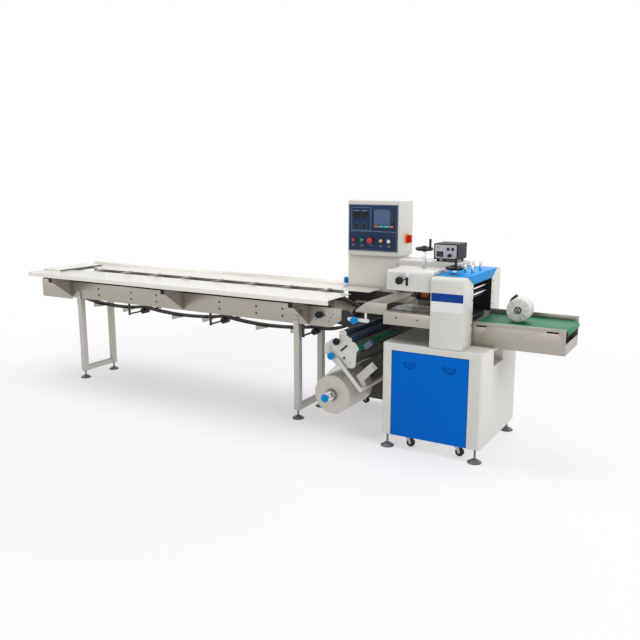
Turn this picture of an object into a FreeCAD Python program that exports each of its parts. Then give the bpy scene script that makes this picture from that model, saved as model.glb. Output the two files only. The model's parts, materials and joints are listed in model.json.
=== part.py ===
"""Horizontal flow wrapper: infeed conveyor, film unwinder, sealing head and discharge belt.

Millimetres. Machine axes: +X with the product, towards the discharge belt; +Y away from the
operator; +Z up. Sizes below are measured from the front left corner of the base cabinet at floor
level. Each piece is moved to the row frame (middle of the outline, on the floor) when it is written.
"""
import FreeCAD, Part
import math
import os

V = FreeCAD.Vector

# ---------------------------------------------------------------- shared sizes
CENTRE_Y = 330.0          # product centre line
SHEET = 3.0               # folded stainless sheet
RUN = 0.05                # radial running clearance of a shaft in its bore
PANEL_GAP = 2.0           # shut line round the lift-off panel
BORE_DEPTH = 25.0         # how deep a shaft end sits in its housing

# base cabinet
CAB_W, CAB_D = 608.0, 675.0
CAB_Z0, CAB_TOP = 81.0, 639.0
CAB_R = 20.0              # upright corner radius
CAB_EDGE_R = 8.0          # top edge radius
DOOR_X0, DOOR_W = 61.0, 465.0
DOOR_TOP = 595.0
DOOR_T = 14.0
DOOR_SET_BACK = 1.5
CUP_R, CUP_DEPTH = 40.0, 9.0
CUP_DROP = 61.0           # flat top of a finger cup below the panel's top edge
CUP_INSET = 112.0         # cup centres from the panel's sides
VENT_Y0, VENT_W = 192.0, 184.0
VENT_Z0, VENT_H = 526.0, 86.0
VENT_DEPTH = 150.0

# levelling feet
FOOT_R, FOOT_RIM, FOOT_DOME = 40.0, 6.0, 22.0
FOOT_STEM_R = 6.0
FOOT_NUT_R, FOOT_NUT_H = 11.0, 9.0
CAB_FOOT_IN_X, CAB_FOOT_IN_Y = 34.0, 22.0

# casters, clear of the floor while the feet carry the machine
WHEEL_R, WHEEL_W, WHEEL_LIFT = 25.0, 20.0, 6.0
WHEEL_BORE = 5.0
CASTER_TRAIL = 18.0
FORK_T, FORK_GAP = 3.0, 1.5
CASTER_PLATE, CASTER_PLATE_T = 60.0, 5.0
KINGPIN_R = 6.0
FORK_DROP = 2.5           # air between the caster plate and its fork
CASTER_FRONT_Y = 62.0
CASTER_BACK_IN_Y = 68.0
CASTER_LEFT_X, CASTER_RIGHT_X = 150.0, 454.0

# sealing head
HEAD_X0, HEAD_W = 290.0, 192.0
HEAD_TOP = 1040.0
HEAD_R = 32.0
TUNNEL_W = 336.0          # clear width between the two columns
COVER_T = 3.0
COVER_SET_BACK = 62.0     # cover's front edge behind the column's face
LIP_H = 48.0
LIP_TAPER = 100.0
JAW_X, JAW_MEET_Z = 385.0, 845.0
JAW_SPACING = 140.0
JAW_TIP_R = 66.0
JAW_SHAFT_R, JAW_HUB_R = 12.0, 26.0
JAW_BAR_T, JAW_END_GAP = 34.0, 14.0
ROD_R = 5.0
ROD_X_IN = 15.0           # tunnel rods in from the head's right face
ROD_HEIGHTS = (925.0, 960.0)
POST_R = 8.0
POST_DX, POST_DY = 44.0, 143.0
POST_X0, POST_Y0 = 395.0, 262.0
POST_FRONT_H, POST_BACK_H = 44.0, 62.0

# hood over the fin sealing wheels, rear housing, platform
HOOD_X0, HOOD_Y0, HOOD_D = 12.0, 20.0, 225.0
HOOD_Z0, HOOD_TOP, HOOD_R = 947.0, 1062.0, 22.0
HOOD_ARM_W, HOOD_ARM_H = 36.0, 45.0
HOOD_SLOT_X, HOOD_SLOT_W, HOOD_SLOT_H = 135.0, 17.0, 66.0
HOOD_SLOT_Z, HOOD_KNOB_X = 1006.0, 99.0
HOUSING_X0, HOUSING_Y0, HOUSING_D = -127.0, 500.0, 200.0
HOUSING_TOP = 1068.0
HOUSING_STEP_Z = 880.0    # underside of the part that reaches over the rear frame
DECK_TOP, DECK_H = 820.0, 75.0
DECK_FRONT_Y = 4.0
DECK_Z0 = DECK_TOP - DECK_H
FORMER_Y_IN = 54.0
FORMER_NOSE_X, FORMER_KNEE_X = -212.0, -136.0
FORMER_TOP_Z = DECK_TOP + 34.0
FORMER_NOSE_Z = FORMER_TOP_Z - 58.0
FORMER_H = 66.0
SEAL_WHEEL_R, SEAL_WHEEL_T = 26.0, 12.0
SEAL_WHEEL_Z = 872.0
SEAL_SHAFT_R, SEAL_NIP = 8.0, 2.0
SEAL_XS = (70.0, 215.0)
HEATER_X0, HEATER_W, HEATER_D, HEATER_H = 118.0, 50.0, 44.0, 50.0

# infeed conveyor
INFEED_HALF = 172.0       # centre line to the outer face of a side plate
PLATE_TOP, PLATE_BOTTOM = 777.0, 650.0
TAIL_BOTTOM = 636.0
RAIL_Z0, RAIL_T, RAIL_IN = 765.0, 5.0, 12.0    # black edge rail along the plates' top
TAIL_X, NOSE_X = -3130.0, -360.0
JOINT_XS = (-2786.0, -1645.0, -597.0)
PLATE_SEAM = 1.0
NOSE_CHAMFER_X, NOSE_CHAMFER_Z = 78.0, 52.0
TUBE = 38.0
TABLE_TOP, TABLE_LIP = 856.0, 31.0
TUBE_Z0 = TABLE_TOP - TABLE_LIP - TUBE
TABLE_FRONT_Y, TABLE_BACK_Y = -30.0, 643.0
TABLE_SHEET = 3.0
TABLE_X0, TABLE_X1 = -3050.0, -350.0
BED_X1 = -284.0
BED_NARROW_X = -548.0     # the bed is narrower past here, in front of the control column
BED_NARROW_Y = 588.0
FENCE_H = 22.0
SLOT_W = 130.0
CHANNEL_T = 2.5
CHANNEL_X0, CHANNEL_X1 = -2780.0, -484.0
TAIL_COVER_X1 = -2880.0
GUSSET_T = 4.0
GUSSET_FLANGE = 30.0
CHAIN_W, CHAIN_T = 30.0, 9.0
CHAIN_RUN_GAP = 1.0       # chain above the channel's floor
CHAIN_STEPS = 8           # straight pieces in each hanging stretch
SPROCKET_R = 80.0         # tail wheel of the chain
SPROCKET_T = 14.0
TAIL_SPROCKET_X = -3030.0
DRIVE_X, DRIVE_Z, DRIVE_R = -331.0, 720.0, 42.0
SLOPE_X = -478.0          # the top run leaves the channel here and slopes down to the drive
CHEEK_R, CHEEK_T, CHEEK_X0 = 50.0, 5.0, -430.0
RETURN_XS = (-2180.0, -1405.0, -645.0)
RETURN_Z = 600.0          # chain centre where a return roller carries it
RETURN_ROLLER_R = 22.0
CHAIN_SAG = 30.0          # dip of a hanging stretch below the rollers
PUSHER_PITCH = 297.0
PUSHER_W, PUSHER_L, PUSHER_H, PUSHER_T = 60.0, 104.0, 31.0, 6.0
RETURN_CLEAR = 95.0       # no pusher nearer than this to a return roller
SHAFT_R = 12.0
LEG = 40.0
LEG_XS = (-2712.0, -695.0)
LEG_Z0 = 60.0
LEG_BAR_H = 38.0
LEG_TAB_T, LEG_TAB_RISE = 5.0, 55.0

# rear frame with the control column, and the control box
FRAME_X0, FRAME_Y0, FRAME_D = -548.0, 600.0, 190.0
FRAME_TOP = 830.0
COLUMN_W = 362.0
BOX_X0, BOX_W = -541.0, 376.0
BOX_Y0, BOX_D = 575.0, 225.0
BOX_Z0, BOX_H = 1070.0, 366.0
BOX_R = 8.0
FACE_IN_X, FACE_IN_Z, FACE_T = 9.0, 32.0, 4.0
BUTTON_Z = 1172.0
BUTTON_XS = (-495.0, -430.0, -292.0, -233.0)
BUTTON_R, BUTTON_H = 11.0, 9.0
STOP_X, STOP_R, STOP_H = -366.0, 19.0, 24.0
GAUGE_XS, GAUGE_Z, GAUGE = (-474.0, -414.0), 1334.0, 46.0
DIAL_Z, DIAL_R = 1268.0, 8.0
SCREEN_X0, SCREEN_Z0, SCREEN_W, SCREEN_H = -348.0, 1256.0, 150.0, 118.0
SCREEN_T = 4.0
SWITCH_Y, SWITCH_Z = 698.0, 1183.0
SWITCH_PLATE, SWITCH_PLATE_T = 64.0, 5.0
SWITCH_R, SWITCH_H = 20.0, 10.0
SWITCH_GRIP_W, SWITCH_GRIP_H = 12.0, 16.0
SWITCH_PIN_R, SWITCH_AIR = 4.0, 1.0

# sealing temperature display box on the rear housing
DISPLAY_X0, DISPLAY_W, DISPLAY_D, DISPLAY_H = 107.0, 154.0, 168.0, 98.0
DISPLAY_FOOT = 14.0

# handwheels
HAND_R, HAND_RIM = 51.0, 7.0
HAND_WEB_T, HAND_HOLE_R = 5.0, 9.0
HAND_HUB_R, HAND_HUB_H = 14.0, 22.0
GRIP_R, GRIP_H = 7.0, 54.0
SPINDLE_R, SLEEVE_R = 6.0, 11.0
HAND_AIR = 1.0
HAND_LEFT = (160.0, 214.0, 1162.0)
HAND_RIGHT = (368.0, 158.0, 1068.0)
GRIP_ANGLE_LEFT, GRIP_ANGLE_RIGHT = -20.0, -62.0

# film unwinder and feed rollers
ROLL_X, ROLL_Z, ROLL_R = -366.0, 247.0, 123.0
ROLL_Y0, ROLL_L = 50.0, 320.0
CORE_R, CORE_LIP = 38.0, 2.0
FILM_SHAFT_R = 14.0
CHUCK_R, CHUCK_H, CHUCK_RIM = 29.0, 34.0, 52.0
KNOB_DISC_R, KNOB_DISC_T = 25.0, 12.0
SHAFT_NOSE_Y = -34.0
FEED_Y0, FEED_T = 50.0, 8.0
ROLLER_END_GAP = 6.0
ROLLER_SHAFT_R = 8.0
PRESS_ROLLER = (-292.0, 644.0, 22.0)
RUBBER_ROLLER = (-250.0, 606.0, 22.0)
GREEN_ROLLER = (-205.0, 560.0, 22.0)
GUIDE_ROLLER = (-280.0, 494.0, 13.0)
SPACER_R = 10.0
SPACERS = ((-385.0, 535.0), (-225.0, 456.0))
ARM_PIVOT_X, ARM_PIVOT_Z = -163.0, 310.0
ARM_TOP_X, ARM_TOP_Z = -322.0, 482.0
ARM_W, ARM_T, ARM_GAP = 24.0, 6.0, 8.0
ARM_PLATE_Y = 96.0
ARM_PLATE = ((-57, 68), (50, 170), (86, 136), (-2, 48), (13, 6), (0, -13), (-13, 0), (-34, 36))
ARM_SHAFT_R, ARM_SLEEVE_R = 8.0, 13.0

# discharge conveyor
BELT_T, PULLEY_R = 2.5, 18.0
BELT_HALF = 150.0
PULLEY_FIT = 0.2
OUT_HALF = 165.0
OUT_X1 = 1000.0
OUT_TOP = 783.0
OUT_FENCE_TOP = 806.0
BELT_AXIS_Z = 757.0
BELT_X0, BELT_X1 = 508.0, 988.0
OUT_SLOTS = ((534.0, 757.0), (930.0, 761.0))
OUT_SLOT_L, OUT_SLOT_H = 66.0, 9.0
END_PANEL_H = 62.0
BRUSH_X, BRUSH_Z, BRUSH_R = 714.0, 851.0, 66.0
BRUSH_Y0, BRUSH_L = 250.0, 92.0
BRUSH_HUB_R = 15.0
BRUSH_SHAFT_R = 6.0
BRUSH_ARM_T, BRUSH_ARM_AIR = 8.0, 10.0

# eye-mark sensor on its rod beside the feed rollers
SENSOR_X, SENSOR_Z, SENSOR_TILT = -144.0, 583.0, 40.0
SENSOR_W, SENSOR_H, SENSOR_D = 62.0, 34.0, 40.0
SENSOR_Y0, SENSOR_ROD_R = 90.0, 6.0

# round star knobs
STAR_R, STAR_H, STAR_LOBES = 23.0, 18.0, 7
STAR_STEM_R, STAR_STEM = 6.0, 14.0
NOSE_KNOB_X, NOSE_KNOB_Z = -513.0, 727.0
FENCE_KNOB_Y, FENCE_KNOB_Z = 612.0, 890.0
FILM_KNOB_X, FILM_KNOB_Z = -362.0, 500.0
BAR_X0, BAR_L, BAR_H = -262.0, 146.0, 22.0     # bar of the web guide below the former
BAR_Z0 = 729.0
BAR_KNOB_IN = 56.0

# ---------------------------------------------------------------- row frame
X_LEFT = TAIL_X - STAR_STEM - STAR_H
X_RIGHT = BELT_X1 + PULLEY_R + PULLEY_FIT + BELT_T
Y_FRONT = SHAFT_NOSE_Y - KNOB_DISC_T
Y_BACK = BOX_Y0 + BOX_D
SHIFT = V(-(X_LEFT + X_RIGHT) / 2, -(Y_FRONT + Y_BACK) / 2, 0)


# ---------------------------------------------------------------- helpers
def box(x0, x1, y0, y1, z0, z1):
    return Part.makeBox(x1 - x0, y1 - y0, z1 - z0, V(x0, y0, z0))


def rod_x(y, z, x0, x1, r):
    return Part.makeCylinder(r, x1 - x0, V(x0, y, z), V(1, 0, 0))


def rod_y(x, z, y0, y1, r):
    return Part.makeCylinder(r, y1 - y0, V(x, y0, z), V(0, 1, 0))


def rod_z(x, y, z0, z1, r):
    return Part.makeCylinder(r, z1 - z0, V(x, y, z0), V(0, 0, 1))


def prism_xz(points, y0, y1):
    """Extrude an outline in the XZ plane from y0 to y1."""
    face = Part.Face(Part.makePolygon([V(x, y0, z) for x, z in points + points[:1]]))
    return face.extrude(V(0, y1 - y0, 0))


def prism_yz(points, x0, x1):
    face = Part.Face(Part.makePolygon([V(x0, y, z) for y, z in points + points[:1]]))
    return face.extrude(V(x1 - x0, 0, 0))


def revolve_z(profile, x, y):
    """Turn an (r, z) outline about the upright axis through x, y."""
    wire = Part.makePolygon([V(x + r, y, z) for r, z in profile + profile[:1]])
    return Part.Face(wire).revolve(V(x, y, 0), V(0, 0, 1), 360)


def edges_at(shape, test):
    return [e for e in shape.Edges if all(test(v.Point) for v in e.Vertexes)]


def upright_edges(shape, x, y):
    return edges_at(shape, lambda p: abs(p.x - x) < 0.01 and abs(p.y - y) < 0.01)


def edge_along_x(shape, y, z):
    return edges_at(shape, lambda p: abs(p.y - y) < 0.01 and abs(p.z - z) < 0.01)


def edge_along_y(shape, x, z):
    return edges_at(shape, lambda p: abs(p.x - x) < 0.01 and abs(p.z - z) < 0.01)


def fuse(first, *rest):
    return first.multiFuse(list(rest)).removeSplitter()


def slot_xz(x, z, length, height, y0, y1):
    """Round-ended slot along X, cut through from y0 to y1."""
    half = (length - height) / 2
    bar = box(x - half, x + half, y0, y1, z - height / 2, z + height / 2)
    return fuse(bar, rod_y(x - half, z, y0, y1, height / 2), rod_y(x + half, z, y0, y1, height / 2))


def star_knob(x, y, z, direction):
    """Lobed clamp knob with its stem's foot at x, y, z."""
    knob = Part.makeCylinder(STAR_R - 3, STAR_H, V(0, 0, STAR_STEM))
    for i in range(STAR_LOBES):
        a = 2 * math.pi * i / STAR_LOBES
        c = V((STAR_R - 5) * math.cos(a), (STAR_R - 5) * math.sin(a), STAR_STEM)
        knob = knob.fuse(Part.makeCylinder(5, STAR_H, c))
    knob = fuse(knob, Part.makeCylinder(STAR_STEM_R, STAR_STEM + 1, V(0, 0, 0)))
    turn = FreeCAD.Rotation(V(0, 0, 1), direction)
    knob.Placement = FreeCAD.Placement(V(x, y, z), turn)
    return knob


# ---------------------------------------------------------------- base cabinet
def base_cabinet():
    body = box(0, CAB_W, 0, CAB_D, CAB_Z0, CAB_TOP)
    corners = [e for x in (0, CAB_W) for y in (0, CAB_D) for e in upright_edges(body, x, y)]
    body = body.makeFillet(CAB_R, corners)
    top = [e for e in body.Edges if all(abs(v.Point.z - CAB_TOP) < 0.01 for v in e.Vertexes)]
    body = body.makeFillet(CAB_EDGE_R, top)
    recess = box(DOOR_X0 - PANEL_GAP, DOOR_X0 + DOOR_W + PANEL_GAP, -1, DOOR_SET_BACK + DOOR_T,
                 CAB_Z0 - 1, DOOR_TOP + PANEL_GAP)
    vent = box(CAB_W - VENT_DEPTH, CAB_W + 1, VENT_Y0, VENT_Y0 + VENT_W, VENT_Z0, VENT_Z0 + VENT_H)
    return body.cut(recess).cut(vent)


def finger_cup(x):
    """Half-moon pull with its flat edge uppermost."""
    top = DOOR_TOP - CUP_DROP
    y1 = DOOR_SET_BACK + CUP_DEPTH
    disc = rod_y(x, top, DOOR_SET_BACK - 1, y1, CUP_R)
    return disc.cut(box(x - CUP_R, x + CUP_R, DOOR_SET_BACK - 2, y1 + 1, top, top + CUP_R + 1))


def front_panel():
    panel = box(DOOR_X0, DOOR_X0 + DOOR_W, DOOR_SET_BACK, DOOR_SET_BACK + DOOR_T, CAB_Z0, DOOR_TOP)
    for x in (DOOR_X0 + CUP_INSET, DOOR_X0 + DOOR_W - CUP_INSET):
        panel = panel.cut(finger_cup(x))
    front = [e for e in panel.Edges if all(abs(v.Point.y - DOOR_SET_BACK) < 0.01 for v in e.Vertexes)]
    return panel.makeChamfer(1.0, front)


def levelling_foot(x, y, top):
    profile = [(0, 0), (FOOT_R, 0), (FOOT_R, FOOT_RIM), (FOOT_STEM_R + 8, FOOT_DOME),
               (FOOT_STEM_R, FOOT_DOME + 2), (FOOT_STEM_R, top), (0, top)]
    foot = revolve_z(profile, x, y)
    nut = Part.Face(Part.makePolygon([V(x + FOOT_NUT_R * math.cos(math.radians(60 * i)),
                                        y + FOOT_NUT_R * math.sin(math.radians(60 * i)),
                                        top - FOOT_NUT_H) for i in range(7)]))
    return fuse(foot, nut.extrude(V(0, 0, FOOT_NUT_H)))


def levelling_feet():
    feet = []
    for x in (CAB_FOOT_IN_X, CAB_W - CAB_FOOT_IN_X):
        for y in (CAB_FOOT_IN_Y, CAB_D - CAB_FOOT_IN_Y):
            feet.append(levelling_foot(x, y, CAB_Z0))
    for x in LEG_XS:
        for y in leg_rows():
            feet.append(levelling_foot(x, y, LEG_Z0))
    return Part.makeCompound(feet)


# ---------------------------------------------------------------- casters
def caster_places():
    """Kingpin axes: two at the front, one at the back, one under the rear frame."""
    back = CAB_D - CASTER_BACK_IN_Y
    return ((CASTER_LEFT_X, CASTER_FRONT_Y), (CASTER_RIGHT_X, CASTER_FRONT_Y),
            (CASTER_RIGHT_X, back), (FRAME_X0 + 82, FRAME_Y0 + FRAME_D / 2))


def caster_plates():
    plates = []
    for x, y in caster_places():
        h = CASTER_PLATE / 2
        plate = box(x - h, x + h, y - h, y + h, CAB_Z0 - CASTER_PLATE_T, CAB_Z0)
        plates.append(plate.cut(rod_z(x, y, CAB_Z0 - CASTER_PLATE_T - 1, CAB_Z0 + 1, KINGPIN_R + RUN)))
    return Part.makeCompound(plates)


def caster_fork(x, y):
    crown_top = CAB_Z0 - CASTER_PLATE_T - FORK_DROP
    axle_z = WHEEL_LIFT + WHEEL_R
    inner = WHEEL_W / 2 + FORK_GAP
    crown_z = axle_z + WHEEL_R + 4
    crown = rod_z(x, y, crown_z, crown_top, inner + FORK_T)
    pin = rod_z(x, y, crown_top - 1, CAB_Z0 - 0.5, KINGPIN_R)
    fork = fuse(crown, pin)
    wx = x + CASTER_TRAIL
    for side in (-1, 1):
        y0 = y + side * inner + (0 if side > 0 else -FORK_T)
        cheek = prism_xz([(x - 14, crown_top - 1), (x + 14, crown_top - 1),
                          (wx + 8, axle_z - 4), (wx - 4, axle_z - 9), (wx - 9, axle_z)], y0, y0 + FORK_T)
        fork = fork.fuse(cheek)
    axle = rod_y(wx, axle_z, y - inner - FORK_T, y + inner + FORK_T, WHEEL_BORE)
    return fuse(fork, axle)


def caster_wheel(x, y):
    wx, axle_z = x + CASTER_TRAIL, WHEEL_LIFT + WHEEL_R
    half = WHEEL_W / 2
    wheel = rod_y(wx, axle_z, y - half, y + half, WHEEL_R)
    rims = [e for e in wheel.Edges if abs(e.Length - 2 * math.pi * WHEEL_R) < 1]
    wheel = wheel.makeFillet(3.0, rims)
    return wheel.cut(rod_y(wx, axle_z, y - half - 1, y + half + 1, WHEEL_BORE + RUN))


# ---------------------------------------------------------------- sealing head
def tunnel():
    return CENTRE_Y - TUNNEL_W / 2, CENTRE_Y + TUNNEL_W / 2


def jaw_axes():
    return ((JAW_X, JAW_MEET_Z + JAW_SPACING / 2), (JAW_X, JAW_MEET_Z - JAW_SPACING / 2))


def head_columns():
    """Front and rear columns, rounded along their outer top edges, bored for the jaw shafts."""
    y_in, y_out = tunnel()
    x1 = HEAD_X0 + HEAD_W
    columns = []
    for y0, y1, edge_y in ((0.0, y_in, 0.0), (y_out, CAB_D, CAB_D)):
        column = box(HEAD_X0, x1, y0, y1, CAB_TOP, HEAD_TOP)
        column = column.makeFillet(HEAD_R, edge_along_x(column, edge_y, HEAD_TOP))
        columns.append(column)
    for x, z in jaw_axes():
        bore = rod_y(x, z, y_in - BORE_DEPTH - 1, y_out + BORE_DEPTH + 1, JAW_SHAFT_R + RUN)
        columns = [c.cut(bore) for c in columns]
    return columns


def blue_cover():
    """Folded cover between the columns, with a tapered lip down each end."""
    y0, y1 = COVER_SET_BACK, 2 * CENTRE_Y - COVER_SET_BACK
    x0, x1 = HEAD_X0 - COVER_T, HEAD_X0 + HEAD_W + COVER_T
    top = box(HEAD_X0, x1, y0, y1, HEAD_TOP, HEAD_TOP + COVER_T)
    outline = [(y0, HEAD_TOP + COVER_T), (y1, HEAD_TOP + COVER_T),
               (y1 - LIP_TAPER, HEAD_TOP - LIP_H), (y0 + LIP_TAPER, HEAD_TOP - LIP_H)]
    back_lip = box(x0, HEAD_X0 + 1, HOOD_Y0 + HOOD_D + 5, HOUSING_Y0 - 5, HEAD_TOP - LIP_H,
                   HEAD_TOP + COVER_T)
    back_lip = back_lip.cut(box(HEAD_X0, HEAD_X0 + 2, 0, CAB_D, HEAD_TOP - LIP_H - 1, HEAD_TOP))
    cover = fuse(top, prism_yz(outline, x1 - COVER_T, x1), back_lip)
    hx, hy, _ = HAND_RIGHT
    return cover.cut(rod_z(hx, hy, HEAD_TOP - 1, HEAD_TOP + COVER_T + 1, SLEEVE_R))


def sealing_jaw(index):
    """Turning shaft with a hub and two crimping bars opposite each other."""
    x, z = jaw_axes()[index]
    y_in, y_out = tunnel()
    shaft = rod_y(x, z, y_in - BORE_DEPTH, y_out + BORE_DEPTH, JAW_SHAFT_R)
    hub = rod_y(x, z, y_in + JAW_END_GAP, y_out - JAW_END_GAP, JAW_HUB_R)
    bar = box(x - JAW_TIP_R, x + JAW_TIP_R, y_in + 2 * JAW_END_GAP, y_out - 2 * JAW_END_GAP,
              z - JAW_BAR_T / 2, z + JAW_BAR_T / 2)
    ring = rod_y(x, z, y_in + 2 * JAW_END_GAP - 1, y_out, JAW_TIP_R)
    return fuse(shaft, hub, bar.common(ring))


def seal_shaft_rows():
    offset = SEAL_WHEEL_R + SEAL_NIP / 2
    return CENTRE_Y - offset, CENTRE_Y + offset


def chrome_rods():
    """Bright round bars: tunnel rods, cover posts, handwheel sleeves and film unit spacers."""
    y_in, y_out = tunnel()
    rods = [rod_y(HEAD_X0 + HEAD_W - ROD_X_IN, z, y_in, y_out, ROD_R) for z in ROD_HEIGHTS]
    z0 = HEAD_TOP + COVER_T
    for dx in (0, POST_DX):
        rods.append(rod_z(POST_X0 + dx, POST_Y0, z0, z0 + POST_FRONT_H, POST_R))
        rods.append(rod_z(POST_X0 + dx, POST_Y0 + POST_DY, z0, z0 + POST_BACK_H, POST_R))
    for (x, y, z), foot in ((HAND_LEFT, HOOD_TOP), (HAND_RIGHT, HEAD_TOP)):
        sleeve = rod_z(x, y, foot, z - HAND_AIR, SLEEVE_R)
        rods.append(sleeve.cut(rod_z(x, y, z - HAND_AIR - BORE_DEPTH, z, SPINDLE_R + RUN)))
    for x, z in SPACERS:
        rods.append(rod_y(x, z, FEED_Y0 + FEED_T, FRAME_Y0, SPACER_R))
    return Part.makeCompound(rods)


# ---------------------------------------------------------------- hood, housing, platform
def hood():
    """Rounded cover over the fin sealing wheels, carried by two arms from the rear housing."""
    y1 = HOOD_Y0 + HOOD_D
    body = box(HOOD_X0, HEAD_X0, HOOD_Y0, y1, HOOD_Z0, HOOD_TOP)
    body = body.makeFillet(HOOD_R, edge_along_x(body, HOOD_Y0, HOOD_TOP))
    half, straight = HOOD_SLOT_W / 2, (HOOD_SLOT_H - HOOD_SLOT_W) / 2
    slot = box(HOOD_SLOT_X - half, HOOD_SLOT_X + half, HOOD_Y0 - 1, HOOD_Y0 + 12,
               HOOD_SLOT_Z - straight, HOOD_SLOT_Z + straight)
    ends = [rod_y(HOOD_SLOT_X, HOOD_SLOT_Z + dz, HOOD_Y0 - 1, HOOD_Y0 + 12, half)
            for dz in (-straight, straight)]
    body = body.cut(fuse(slot, *ends))
    for x in SEAL_XS:
        body = body.fuse(box(x - HOOD_ARM_W / 2, x + HOOD_ARM_W / 2, y1 - 1, HOUSING_Y0,
                             HOOD_Z0 + 8, HOOD_Z0 + 8 + HOOD_ARM_H))
    return body.removeSplitter()


def rear_housing():
    """Gearbox housing that stands on the cabinet and reaches over the rear frame."""
    outline = [(0, CAB_TOP), (HEAD_X0, CAB_TOP), (HEAD_X0, HOUSING_TOP), (HOUSING_X0, HOUSING_TOP),
               (HOUSING_X0, HOUSING_STEP_Z), (0, HOUSING_STEP_Z)]
    body = prism_xz(outline, HOUSING_Y0, CAB_D)
    edges = edge_along_x(body, HOUSING_Y0, HOUSING_TOP) + edge_along_x(body, CAB_D, HOUSING_TOP)
    return body.makeFillet(10.0, edges)


def forming_platform():
    """Folded deck in front of the housing, and the former that the film is drawn over."""
    x1 = HEAD_X0
    front = box(0, x1, DECK_FRONT_Y, DECK_FRONT_Y + SHEET, DECK_Z0, DECK_TOP)
    deck = box(0, x1, DECK_FRONT_Y, HOUSING_Y0, DECK_TOP - SHEET, DECK_TOP)
    end = box(0, SHEET, DECK_FRONT_Y, HOUSING_Y0, DECK_Z0, DECK_TOP)
    foot = box(0, x1, DECK_FRONT_Y, DECK_FRONT_Y + 24, DECK_Z0, DECK_Z0 + SHEET)
    tray = fuse(front, deck, end, foot)
    outline = [(FORMER_NOSE_X, FORMER_NOSE_Z), (FORMER_KNEE_X, FORMER_TOP_Z), (-1, FORMER_TOP_Z),
               (-1, FORMER_TOP_Z - FORMER_H), (FORMER_NOSE_X + 14, FORMER_TOP_Z - FORMER_H)]
    y0, y1 = FORMER_Y_IN, 2 * CENTRE_Y - FORMER_Y_IN
    y1 = min(y1, HOUSING_Y0 - 12)
    shell = prism_xz(outline, y0, y1)
    inner = [(FORMER_NOSE_X - 5, FORMER_NOSE_Z - 3), (FORMER_KNEE_X, FORMER_TOP_Z - SHEET),
             (5, FORMER_TOP_Z - SHEET), (5, FORMER_TOP_Z - FORMER_H - 5),
             (FORMER_NOSE_X - 5, FORMER_TOP_Z - FORMER_H - 5)]
    former = shell.cut(prism_xz(inner, y0 + SHEET, y1 - SHEET))
    tie = box(-1, 0, y0 + 6, y1 - 6, FORMER_TOP_Z - FORMER_H + 4, DECK_TOP - 4)
    return Part.makeCompound([fuse(tray, tie, former)])


def fin_seal_unit():
    """Black back plate and the pairs of sealing wheels that hang below the hood."""
    plate = box(SHEET + 1, HEAD_X0 - 1, HOUSING_Y0 - 5, HOUSING_Y0, DECK_TOP, HOOD_Z0)
    pieces = [plate]
    for x in SEAL_XS:
        for y in seal_shaft_rows():
            top = HOOD_Z0 + 8 if y > HOOD_Y0 + HOOD_D else HOOD_Z0
            shaft = rod_z(x, y, SEAL_WHEEL_Z, top, SEAL_SHAFT_R)
            disc = rod_z(x, y, SEAL_WHEEL_Z, SEAL_WHEEL_Z + SEAL_WHEEL_T, SEAL_WHEEL_R)
            pieces.append(fuse(shaft, disc))
    return Part.makeCompound(pieces)


def seal_heaters():
    """Two heater blocks either side of the film between the wheel pairs, on hanger bars."""
    blocks = []
    for side in (-1, 1):
        y0 = CENTRE_Y + side * 6 - (HEATER_D if side < 0 else 0)
        z1 = SEAL_WHEEL_Z + HEATER_H
        block = box(HEATER_X0, HEATER_X0 + HEATER_W, y0, y0 + HEATER_D, SEAL_WHEEL_Z, z1)
        x = HEATER_X0 + HEATER_W / 2 + side * 12
        bar = box(x - 5, x + 5, y0 + HEATER_D / 2, HOUSING_Y0 - 5, z1 + 2, z1 + 12)
        drop = box(x - 5, x + 5, y0 + HEATER_D / 2, y0 + HEATER_D / 2 + 10, z1 - 1, z1 + 12)
        blocks.append(fuse(block, bar, drop))
    return Part.makeCompound(blocks)


# ---------------------------------------------------------------- infeed conveyor
def plate_rows():
    """Outer and inner face of the front side plate, then inner and outer face of the rear one."""
    return (CENTRE_Y - INFEED_HALF, CENTRE_Y - INFEED_HALF + SHEET,
            CENTRE_Y + INFEED_HALF - SHEET, CENTRE_Y + INFEED_HALF)


def leg_rows():
    y0, _, _, y1 = plate_rows()
    return y0 + LEG / 2, y1 - LEG / 2


def infeed_side_plates():
    """Each side in four lengths: tail, two middle lengths, and a nose with its corner cut off."""
    a, b, c, d = plate_rows()
    j1, j2, j3 = JOINT_XS
    g = PLATE_SEAM / 2
    nose = [(j3 + g, PLATE_BOTTOM), (NOSE_X - NOSE_CHAMFER_X, PLATE_BOTTOM),
            (NOSE_X, PLATE_BOTTOM + NOSE_CHAMFER_Z), (NOSE_X, PLATE_TOP), (j3 + g, PLATE_TOP)]
    plates = []
    for y0, y1 in ((a, b), (c, d)):
        tail = box(TAIL_X, j1 - g, y0, y1, TAIL_BOTTOM, PLATE_TOP)
        plates += [tail, box(j1 + g, j2 - g, y0, y1, PLATE_BOTTOM, PLATE_TOP),
                   box(j2 + g, j3 - g, y0, y1, PLATE_BOTTOM, PLATE_TOP), prism_xz(nose, y0, y1)]
    plates.append(box(TAIL_X, TAIL_X + SHEET, b, c, TAIL_BOTTOM, PLATE_TOP))
    return Part.makeCompound(plates)


def slot_rows():
    return CENTRE_Y - SLOT_W / 2, CENTRE_Y + SLOT_W / 2


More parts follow.
